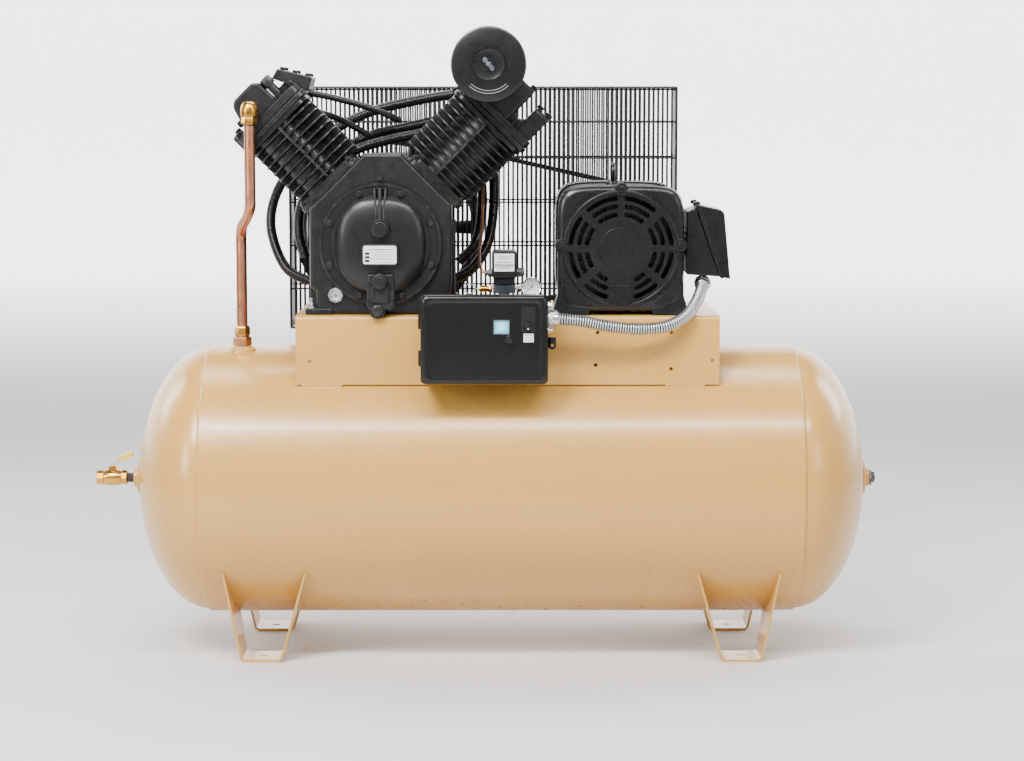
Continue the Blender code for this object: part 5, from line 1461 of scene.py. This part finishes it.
def vent_slots(x, z):
    slots = []
    for inner, outer in VENT_RINGS:
        radius = (inner + outer) / 2
        for (a0, w0), (a1, w1) in zip(SPOKES, SPOKES[1:] + ((360, 0.0075),)):
            start = a0 + math.degrees(math.asin(w0 / radius))
            end = a1 - math.degrees(math.asin(w1 / radius))
            if end - start < 6:
                continue
            soft = math.degrees(0.0022 / radius)
            slots.append(
                arc(x, z, outer, start + soft, end - soft, 8)
                + [arc(x, z, r, end, end, 1)[0] for r in (radius + 0.002, radius - 0.002)]
                + arc(x, z, inner, end - soft, start + soft, 8)
                + [arc(x, z, r, start, start, 1)[0] for r in (radius - 0.002, radius + 0.002)]
            )
    return slots


def bell_outline(x, z, half, inset=0.0):
    """A square with rounded corners and crowned sides."""
    points = []
    for px, pz in squircle(x, z, half - inset, half - inset, 6.5, 128):
        crown = 0.004 * (1 - ((px - x) / half) ** 2)
        points.append((px, pz - 0.004 + crown if pz > z else pz))
    return points


def bell_wall(shape, x, z, half, outside, inside, count=128):
    """A bell's wall: (y, inset) stations on its outline, then (y, radius) stations back inside."""
    loops = [[(a, y, b) for a, b in bell_outline(x, z, half, inset)] for y, inset in outside]
    for y, r in inside:
        angles = (math.tau * i / count for i in range(count))
        loops.append([(x + r * math.cos(a), y, z + r * math.sin(a)) for a in angles])
    shape.loft(loops, closed=True)


def front_bell(x, z, y0, y1, half):
    """A cast end bell: rounded square, a grille with three rings of slots, and a hub."""
    bell = Shape()
    lip = 0.126
    face = y0 + 0.006
    bell_wall(bell, x, z, half,
              ((y1, 0.002), (y0 + 0.022, 0.0), (y0 + 0.012, 0.003), (face + 0.001, 0.009),
               (face, 0.012)),
              ((face, lip), (face + 0.02, lip - 0.004), (y1, lip - 0.004)))
    bell.turned([(lip - 0.0045, 0.012), (lip + 0.0035, 0.012), (lip + 0.0035, 0.003), (lip + 0.001, 0.0006),
                 (lip - 0.003, 0.0006), (lip - 0.0045, 0.003)], (x, y0, z), (0, 1, 0), 128, closed=True)
    bell.done("motor_bell_front_skin", BLACK, replaces=("motor_bell_front",), bevel=0.0012, angle=30)
    grille = Shape()
    grille.pierced(circle(x, z, lip - 0.003, 128), vent_slots(x, z), y0 + 0.003, y0 + 0.016)
    grille.done("motor_bell_grille", BLACK, bevel=0.0013, segments=2, angle=50)
    hub = Shape()
    hub.turned([(0, 0.008), (0.0512, 0.008), (0.0512, 0.0035), (0.0505, 0.0028), (0.0497, 0.0035),
                (0.0488, 0.0038), (0.0478, 0.002), (0.0465, 0.0012), (0, 0.0006)],
               (x, y0, z), (0, 1, 0), 96)
    hub.done("motor_bell_hub", BLACK, angle=30)
    bell_trim(x, z, y0, y1, half)
    # A matte dark disc behind the grille that covers the vent slots: painted shade for the inside of the
    # motor.
    inside = Shape()
    inside.turned([(0.025, 0), (0.1165, 0), (0.1165, 0.002), (0.025, 0.002)],
                  (x, y0 + 0.058, z), (0, 1, 0), 64, closed=True)
    inside.done("motor_inner_shade_disc", DARK)


BOSSES = ((0, 0.131), (-0.131, 0.008), (0.131, 0.008))  # the bolted bosses on the front bell, from its middle


def bell_trim(x, z, y0, y1, half):
    """Corner panels, bosses with bolts, the ribbed block and the feet of the front bell."""
    trim = Shape()
    for start, end in ((26, 66), (114, 154), (206, 238), (302, 334)):
        rim = []
        for k in range(13):
            a = math.radians(start + (end - start) * k / 12)
            c, s = math.cos(a), math.sin(a)
            r = (half - 0.013) * (abs(c) ** 6.5 + abs(s) ** 6.5) ** (-1 / 6.5)
            rim.append((x + r * c, z + r * s))
        trim.prism(rim + arc(x, z, 0.1375, end, start, 10), y0 + 0.0035, y0 + 0.01)
    trim.box((x - 0.025, y0 - 0.0005, z - 0.124), (x + 0.025, y0 + 0.014, z - 0.080))
    for dx in (-0.0185, -0.0065, 0.0065, 0.0185):
        trim.box((x + dx - 0.0026, y0 - 0.003, z - 0.1235), (x + dx + 0.0026, y0 + 0.002, z - 0.0805))
    for dx, dz in BOSSES:
        trim.turned([(0, 0.02), (0.0145, 0.02), (0.0145, 0.003), (0.012, 0.001), (0, 0.001)],
                    (x + dx, y0, z + dz), (0, 1, 0), 32)
    for side in (-1, 1):
        foot = [(x + side * 0.070, BASE), (x + side * 0.1475, BASE), (x + side * 0.1475, BASE + 0.014),
                (x + side * 0.139, BASE + 0.045), (x + side * 0.139, z - 0.075),
                (x + side * 0.112, z - 0.108), (x + side * 0.085, BASE + 0.030),
                (x + side * 0.070, BASE + 0.010)]
        trim.prism(foot, y0 + 0.008, y1)
    trim.done("motor_bell_trim", BLACK, bevel=0.0016, segments=2)
    screws = Shape()
    for dx, dz in BOSSES:
        screws.bolt((x + dx, y0 + 0.0012, z + dz), (0, -1, 0), 0.0068, 0.0055)
    screws.done("motor_bell_bolts", BLACK, bevel=0.0005)


def rear_bell(x, z, y0, y1, half):
    bell = Shape()
    bell_wall(bell, x, z, half,
              ((y0, 0.002), (y1 - 0.022, 0.0), (y1 - 0.012, 0.003), (y1 - 0.007, 0.009),
               (y1 - 0.006, 0.012)),
              ((y1 - 0.006, 0.021), (y0, 0.021)))
    motor_ring(bell, x, z, 0.0212, 0.05, y1 - 0.01, y1 + 0.003)
    motor_ring(bell, x, z, 0.11, 0.118, y1 - 0.01, y1 - 0.001)
    for i in range(6):
        a = math.tau * i / 6 + math.pi / 6
        out, side = Vector((math.cos(a), 0, math.sin(a))), Vector((-math.sin(a), 0, math.cos(a)))
        loops = []
        for r in (0.045, 0.112):
            c = Vector((x, 0, z)) + out * r
            loops.append([c + side * s * 0.005 + Vector((0, y, 0))
                          for s, y in ((-1, y1 - 0.008), (1, y1 - 0.008),
                                       (1, y1 - 0.001), (-1, y1 - 0.001))])
        bell.loft(loops)
    bell.done("motor_bell_rear_skin", BLACK, replaces=("motor_bell_rear",), bevel=0.0014, segments=2)
    screws = Shape()
    for i in range(4):
        a = math.tau * i / 4 + math.pi / 4
        screws.bolt((x + 0.15 * math.cos(a), y1 - 0.007, z + 0.15 * math.sin(a)), (0, 1, 0), 0.006, 0.006)
    screws.done("motor_rear_bolts", BLACK, bevel=0.0005)


def conduit_box():
    y0, y1 = low("conduit_box").y, high("conduit_box").y
    body = Shape()
    body.prism([(0.4095, 0.866), (0.4115, 0.8625), (0.486, 0.858), (0.430, 1.0115), (0.4095, 1.002)],
               y0, y1)
    body.done("conduit_box_skin", BLACK, replaces=("conduit_box",), bevel=0.005, segments=4, angle=30)
    cover = Shape()
    cover.prism([(0.4915, 0.8560), (0.5085, 0.8530), (0.5065, 0.8640), (0.494, 0.998), (0.487, 1.006),
                 (0.4395, 1.0165), (0.4345, 1.0145)], y0 - 0.001, y1 + 0.001)
    cover.done("conduit_box_cover", BLACK, bevel=0.006, segments=4, angle=30)
    lip = Shape()
    lip.prism([(0.4855, 0.8550), (0.4935, 0.8540), (0.4385, 1.0175), (0.4300, 1.0165)],
              y0 - 0.004, y1 + 0.004)
    lip.done("conduit_box_lip", BLACK, bevel=0.0018, segments=3)
    screws = Shape()
    for y in (y0 + 0.012, y1 - 0.012):
        screws.bolt((0.4335, y, 1.0165), (-0.15, 0, 1), 0.0075, 0.006)
    screws.rod((0.3985, -0.095, 0.935), (0.4115, -0.095, 0.935), 0.03, 32)
    screws.done("conduit_box_screws", BLACK, bevel=0.0006)


CONDUIT = [
    (0.1015, -0.262, 0.775), (0.13, -0.263, 0.773), (0.18, -0.262, 0.768), (0.235, -0.258, 0.757),
    (0.3, -0.252, 0.751), (0.36, -0.24, 0.755), (0.405, -0.215, 0.775), (0.43, -0.185, 0.803),
    (0.444, -0.15, 0.829), (0.449, -0.125, 0.847),
]


def flex_conduit():
    """Wound steel conduit: a rounded ridge each 5.6 mm along its whole length."""
    step = 0.0007
    path = even_route(CONDUIT, step)
    radii = []
    for i in range(len(path)):
        phase = (i * step / 0.0056) % 1.0
        radii.append(0.0096 + 0.0042 * abs(math.sin(math.pi * phase)) ** 0.8)
    tube = Shape()
    tube.sweep(path, radii, 24)
    tube.done("flex_conduit_skin", SPIRAL, replaces=("flex_conduit",), angle=70)
    ends = Shape()
    for start, after, length in ((CONDUIT[0], CONDUIT[1], 0.022), (CONDUIT[-1], CONDUIT[-2], 0.018)):
        spot = Vector(start)
        away = (Vector(after) - spot).normalized()
        spot = spot - away * 0.0005
        ends.turned([(0, 0), (0.0165, 0), (0.0165, length), (0.0150, length + 0.002), (0, length + 0.002)],
                    spot, away, 32)
        ends.turned([(0, 0.003), (0.0192, 0.003), (0.0192, 0.010), (0, 0.010)], spot, away, 8)
        side = away.cross(Vector((0, 1, 0))).normalized()
        ends.bolt(spot + away * length * 0.7 + side * 0.0155, side, 0.0035, 0.004, washer=False)
    ends.done("conduit_connectors", STEEL, bevel=0.0006)


# ---- control box --------------------------------------------------------------------------------
def door_shell(start, end, holes):
    """The pressed door: a rounded rim with a raised lip, round a flat face."""
    front, back = start.y, end.y
    door = Shape()

    def loop(inset, y, radius):
        points = rounded(start.x + inset, start.z + inset, end.x - inset, end.z - inset, radius, 8)
        return [(a, y, b) for a, b in points]

    door.loft([
        loop(0.0012, back, 0.010), loop(0.0, back - 0.001, 0.011), loop(0.0, front + 0.012, 0.011),
        loop(0.0008, front + 0.0078, 0.012), loop(0.0030, front + 0.0040, 0.013),
        loop(0.0064, front + 0.0014, 0.014), loop(0.0100, front + 0.0003, 0.014),
        loop(0.0130, front + 0.0004, 0.013), loop(0.0160, front + 0.0014, 0.012),
        loop(0.0185, front + 0.0020, 0.011), loop(0.0185, front + 0.0042, 0.011),
        loop(0.0060, front + 0.0090, 0.010), loop(0.0055, back, 0.009),
    ], closed=True)
    face = rounded(start.x + 0.0178, start.z + 0.0178, end.x - 0.0178, end.z - 0.0178, 0.010, 8)
    door.pierced(face, holes, front + 0.0020, front + 0.0038)
    door.done("control_door_skin", BOX_PAINT, "door", ("control_door",), angle=50)


def control_box():
    start, end = low("control_door"), high("control_door")
    front, back = start.y, end.y
    case = Shape()
    case_low, case_high = low("control_box"), high("control_box")
    outer = rounded(case_low.x, case_low.z, case_high.x, case_high.z - 0.0055, 0.006)
    inner = rounded(case_low.x + 0.002, case_low.z + 0.002,
                    case_high.x - 0.002, case_high.z - 0.0075, 0.005)
    case.pierced(outer, [inner], case_low.y, case_high.y - 0.002)
    case.prism(outer, case_high.y - 0.0022, case_high.y)
    case.done("control_box_skin", BOX_PAINT, replaces=("control_box",), bevel=0.0007)
    knob, button = middle("selector_knob"), middle("reset_button")
    door_shell(start, end, [circle(knob.x, knob.z, 0.0052, 24), circle(button.x, button.z, 0.0084, 32)])
    door_plates(front + 0.0020)
    grip = Shape()
    y = front + 0.0002
    grip.turned([(0, 0.0), (0.0088, 0.0), (0.0088, 0.0035), (0.0078, 0.0050), (0, 0.0050)],
                (knob.x, y, knob.z), (0, -1, 0), 36)
    grip.prism(rounded(knob.x - 0.0026, knob.z - 0.0082, knob.x + 0.0026, knob.z + 0.0082, 0.002, 4),
               y - 0.0092, y - 0.004)
    grip.rod((knob.x, y - 0.001, knob.z), (knob.x, front + 0.0125, knob.z), 0.0045, 20)
    grip.done("selector_knob_skin", PLASTIC, "knob", ("selector_knob",), bevel=0.0007)
    dot = Shape()
    dot.rod((knob.x, y - 0.0096, knob.z - 0.0052), (knob.x, y - 0.0091, knob.z - 0.0052), 0.0016, 16)
    dot.done("selector_knob_dot", WHITE, "knob")
    push = Shape()
    push.turned([(0, -0.0055), (0.0079, -0.0055), (0.0079, 0.0048), (0.0070, 0.0062),
                 (0.0052, 0.0066), (0.0046, 0.0060), (0, 0.0058)],
                (button.x, front, button.z), (0, -1, 0), 40)
    push.turned([(0, -0.0068), (0.0098, -0.0068), (0.0098, -0.0050), (0, -0.0050)],
                (button.x, front, button.z), (0, -1, 0), 40)
    push.done("reset_button_skin", PLASTIC, "button", ("reset_button",))
    ring = Shape()
    ring.turned([(0.0084, -0.0019), (0.0106, -0.0019), (0.0106, 0.0006), (0.0098, 0.0014),
                 (0.0084, 0.0014)], (button.x, front, button.z), (0, -1, 0), 48, closed=True)
    ring.done("reset_button_ring", PLASTIC, "door")
    door_hardware(start, end, back)


def door_plates(face):
    """The blue indicator, the selector's plate and a small white label."""
    frames = Shape()
    frames.pierced(rounded(-0.0175, 0.7452, 0.0172, 0.7763, 0.0015),
                   [rounded(-0.0150, 0.7477, 0.0147, 0.7738, 0.0008)], face - 0.0026, face)
    frames.done("door_blue_frame", GREY_METAL, "door", bevel=0.0004)
    blue = Shape()
    blue.prism(rounded(-0.0150, 0.7477, 0.0147, 0.7738, 0.0008), face - 0.0014, face)
    blue.done("door_blue_plate", BLUE, "door")
    lens = Shape()
    lens.turned([(0, 0), (0.0085, 0), (0.0080, 0.0006), (0, 0.0009)], (-0.0002, face - 0.0013, 0.7607),
                (0, -1, 0), 32)
    lens.done("door_blue_lens", PALE, "door")
    plate = Shape()
    knob = middle("selector_knob")
    plate.pierced(rounded(0.0425, 0.7505, 0.0728, 0.8045, 0.003), [circle(knob.x, knob.z, 0.0095, 32)],
                  face - 0.0016, face)
    plate.pierced(rounded(0.0460, 0.7268, 0.0710, 0.7482, 0.0015),
                  [rounded(0.0475, 0.7282, 0.0695, 0.7468, 0.001)], face - 0.0012, face)
    plate.prism(rounded(0.0490, 0.7765, 0.0665, 0.7995, 0.002), face - 0.0026, face - 0.001)
    plate.done("door_selector_plate", PLASTIC, "door", bevel=0.0006)
    white = Shape()
    white.prism(rounded(0.0475, 0.7282, 0.0695, 0.7468, 0.001), face - 0.0008, face)
    white.done("door_white_label", WHITE, "door")
    bars = Shape()
    for z in (0.7322, 0.7376, 0.7430):
        bars.box((0.0500, face - 0.0011, z - 0.0007), (0.0670, face - 0.0006, z + 0.0007))
    bars.done("door_label_lines", GREY, "door")


def door_hardware(start, end, back):
    """Hinge barrels, the hasp for a padlock, and the hub and clamps of the conduit."""
    hinges = Shape()
    for z in (0.7725, 0.6915):
        hinges.rod((start.x - 0.0008, back + 0.0005, z - 0.017),
                   (start.x - 0.0008, back + 0.0005, z + 0.017), 0.0042, 18)
    hinges.done("door_hinge_barrels", BOX_PAINT, bevel=0.0005)
    hasp = Shape()
    outline = arc(0.1100, 0.7185, 0.0082, 180, 360, 12) + [(0.1182, 0.7370), (0.1018, 0.7370)]
    hasp.pierced(outline, [circle(0.1100, 0.7195, 0.0036, 24)], back + 0.0010, back + 0.0040)
    hasp.box((0.0975, back + 0.0010, 0.7150), (0.1060, back + 0.0150, 0.7370))
    hasp.done("door_hasp", BOX_PAINT, bevel=0.0008)
    fittings = Shape()
    x = end.x - 0.0028
    for z, r in ((0.8030, 0.0085), (0.7500, 0.0075)):
        fittings.turned([(0, 0), (r, 0), (r, 0.006), (r * 0.8, 0.007), (r * 0.8, 0.013), (0, 0.013)],
                        (x, -0.262, z), (1, 0, 0), 6)
    fittings.bolt((x, -0.238, 0.79), (1, 0, 0), 0.005, 0.005)
    fittings.rod((x + 0.005, -0.262, 0.75), (x + 0.005, -0.262, 0.77), 0.005, 16)
    fittings.done("control_box_fittings", STEEL, bevel=0.0005)


# ---- pressure switch, gauge and relief valve ----------------------------------------------------
def pressure_controls():
    start, end = low("pressure_switch"), high("pressure_switch")
    case = Shape()
    outline = rounded(start.x + 0.0005, start.z + 0.012, end.x - 0.0005, end.z, 0.008, 6)
    case.stack(outline, ((start.x + end.x) / 2, (start.z + end.z) / 2 + 0.006), [
        (start.y + 0.0005, 0.94), (start.y + 0.003, 0.985), (start.y + 0.008, 1.0), (end.y - 0.002, 1.0)])
    case.box((start.x + 0.004, start.y + 0.004, start.z), (end.x - 0.004, end.y - 0.004, start.z + 0.014))
    case.done("pressure_switch_skin", PLASTIC, replaces=("pressure_switch",), bevel=0.0015)
    cx = (start.x + end.x) / 2
    label = Shape()
    label.prism(rounded(cx - 0.022, 0.872, cx + 0.022, 0.911, 0.001), start.y - 0.0004, start.y + 0.001)
    label.done("pressure_switch_label", WHITE)
    print_bars = Shape()
    for z, wide in ((0.905, 0.016), (0.9005, 0.012), (0.8925, 0.018), (0.8785, 0.014)):
        print_bars.box((cx - wide, start.y - 0.0008, z - 0.0009), (cx + wide, start.y - 0.0003, z + 0.0009))
    print_bars.box((cx - 0.0205, start.y - 0.0007, 0.8815), (cx + 0.0205, start.y - 0.0003, 0.8885))
    print_bars.done("pressure_switch_print", GREY)
    plug = Shape()
    plug.turned([(0, 0), (0.0105, 0), (0.0105, 0.010), (0.0085, 0.012), (0.0085, 0.018), (0, 0.018)],
                (end.x - 0.001, -0.15, 0.868), (1, 0, 0), 8)
    plug.turned([(0, 0), (0.0095, 0), (0.0095, 0.008), (0.006, 0.010), (0.006, 0.014), (0, 0.014)],
                (start.x + 0.001, -0.15, 0.866), (-1, 0, 0), 6)
    plug.done("pressure_switch_glands", PIPE, bevel=0.0007)
    manifold()
    gauge()


def manifold():
    block = Shape()
    x, y = 0.006, -0.15
    block.turned([(0, 0), (0.0125, 0), (0.0125, 0.012), (0.0078, 0.014), (0.0074, 0.05), (0, 0.05)],
                 (x, y, BASE), (0, 0, 1), 6)
    block.rod((x, y, BASE + 0.04), (x, y, 0.8415), 0.0088, 24)
    block.prism(rounded(x - 0.0255, y - 0.0115, x + 0.0255, y + 0.0115, 0.003), 0.8215, 0.8405, "Z")
    block.done("manifold_skin", GREY_METAL, replaces=("manifold",), bevel=0.0012)
    relief = Shape()
    start = high("safety_valve").x
    relief.turned([(0.0028, 0), (0.0088, 0), (0.0096, 0.001), (0.0096, 0.0075), (0.0088, 0.0085),
                   (0.0066, 0.009), (0.0066, 0.026), (0.0058, 0.0295), (0.0034, 0.0305),
                   (0.0028, 0.0305)], (start, y, 0.831), (-1, 0, 0), 6, closed=True)
    relief.turned([(0.0028, 0.010), (0.0072, 0.010), (0.0072, 0.027), (0.0028, 0.027)],
                  (start, y, 0.831), (-1, 0, 0), 32, closed=True)
    relief.done("safety_valve_skin", BRASS, replaces=("safety_valve",), bevel=0.0005)
    ring = Shape()
    left = low("safety_ring").x
    ring.rod((start - 0.016, y, 0.831), (left + 0.0245, y, 0.831), 0.0021, 16)
    ring.torus((left + 0.0125, y, 0.831), (0, 1, 0), 0.0113, 0.0011, 48, 10)
    ring.done("safety_ring_skin", STEEL, "relief_ring", ("safety_ring",))
    line = Shape()
    route = [(-0.022, -0.15, 0.866), (-0.034, -0.15, 0.866), (-0.046, -0.14, 0.875), (-0.05, -0.08, 0.9),
             (-0.045, 0.02, 0.95), (-0.042, 0.10, 1.05), (-0.045, 0.12, 1.12), (-0.03, 0.1, 1.17)]
    line.sweep(smooth_route(route, 10), 0.0032, 12)
    line.done("unloader_line", COPPER)


def gauge():
    c = middle("gauge_needle")
    x, z = 0.066, 0.837
    radius = 0.0215
    y = -0.162
    case = Shape()
    case.turned([(0, 0), (radius - 0.002, 0), (radius - 0.0008, 0.001), (radius - 0.0008, 0.016),
                 (radius, 0.0165), (radius, 0.0215), (radius - 0.0008, 0.0225),
                 (radius - 0.0026, 0.0215), (radius - 0.0026, 0.006), (0, 0.006)],
                (x, y, z), (0, -1, 0), 72)
    case.rod((x, y - 0.002, 0.831), (x, -0.146, 0.831), 0.0068, 20)
    case.rod((0.0325, -0.148, 0.831), (x + 0.002, -0.148, 0.831), 0.0045, 20)
    case.turned([(0.0045, 0), (0.0085, 0), (0.0085, 0.009), (0.0045, 0.009)],
                (0.034, -0.148, 0.831), (1, 0, 0), 6, closed=True)
    case.done("pressure_gauge_skin", CHROME, replaces=("pressure_gauge",), angle=35)
    face_y = y - 0.0062
    dial = Shape()
    dial.turned([(0, 0), (radius - 0.0028, 0), (radius - 0.0028, 0.0006), (0, 0.0006)],
                (x, face_y, z), (0, -1, 0), 64)
    dial.done("gauge_dial", WHITE)
    ticks = Shape()
    for i in range(31):
        a = math.radians(225 - 270 * i / 30)
        outer, inner = 0.0178, 0.0158 if i % 5 else 0.0146
        out, side = Vector((math.cos(a), 0, math.sin(a))), Vector((-math.sin(a), 0, math.cos(a)))
        wide = 0.00016 if i % 5 else 0.00030
        spot = Vector((x, face_y - 0.0008, z))
        loops = []
        for r in (inner, outer):
            loops.append([spot + out * r + side * s * wide + Vector((0, d, 0))
                          for s, d in ((-1, 0.0003), (1, 0.0003), (1, -0.0001), (-1, -0.0001))])
        ticks.loft(loops)
    ticks.done("gauge_ticks", INK)
    for i, text in enumerate(("0", "50", "100", "150", "200", "250", "300")):
        a = math.radians(225 - 45 * i)
        curve = bpy.data.curves.new(f"gauge_number_{i}", "FONT")
        curve.body = text
        curve.size = 0.0034
        curve.align_x, curve.align_y = "CENTER", "CENTER"
        curve.extrude = 0.0001
        number = add_object(f"gauge_number_{i}", curve)
        number.rotation_euler = (math.pi / 2, 0, 0)
        spot = Vector((x + 0.0120 * math.cos(a), face_y - 0.0009, z + 0.0120 * math.sin(a)))
        number.location = spot + SHIFT
        number.data.materials.append(INK)
        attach(number, "frame")
    needle = Shape()
    ny = c.y
    slope = math.sqrt(0.5)
    outline = [(-0.0062, -0.0013), (-0.0062, 0.0013), (0, 0.0011), (0.0142, 0.0004), (0.0142, -0.0004),
               (0, -0.0011)]
    needle.prism([(x + slope * (b - a), z - slope * (a + b)) for a, b in outline], ny - 0.0003, ny + 0.0003)
    needle.turned([(0, 0), (0.0024, 0), (0.0020, 0.001), (0, 0.0012)], (x, ny, z), (0, -1, 0), 24)
    needle.done("gauge_needle_skin", INK, "needle", ("gauge_needle",))
    lens = Shape()
    lens.turned([(0, 0), (radius - 0.0027, 0), (radius - 0.0027, 0.0008), (0, 0.0014)],
                (x, y - 0.0205, z), (0, -1, 0), 64)
    lens.done("gauge_lens", LENS)


def build():
    studio()
    tank()
    feet()
    platform()
    outlet_valve()
    discharge_line()
    crankcase()
    front_cover()
    cylinders()
    head_second()
    head_first()
    pistons()
    intake_filter()
    intercooler()
    drive()
    guard()
    motor()
    conduit_box()
    flex_conduit()
    control_box()
    pressure_controls()


build()
bpy.context.view_layer.update()
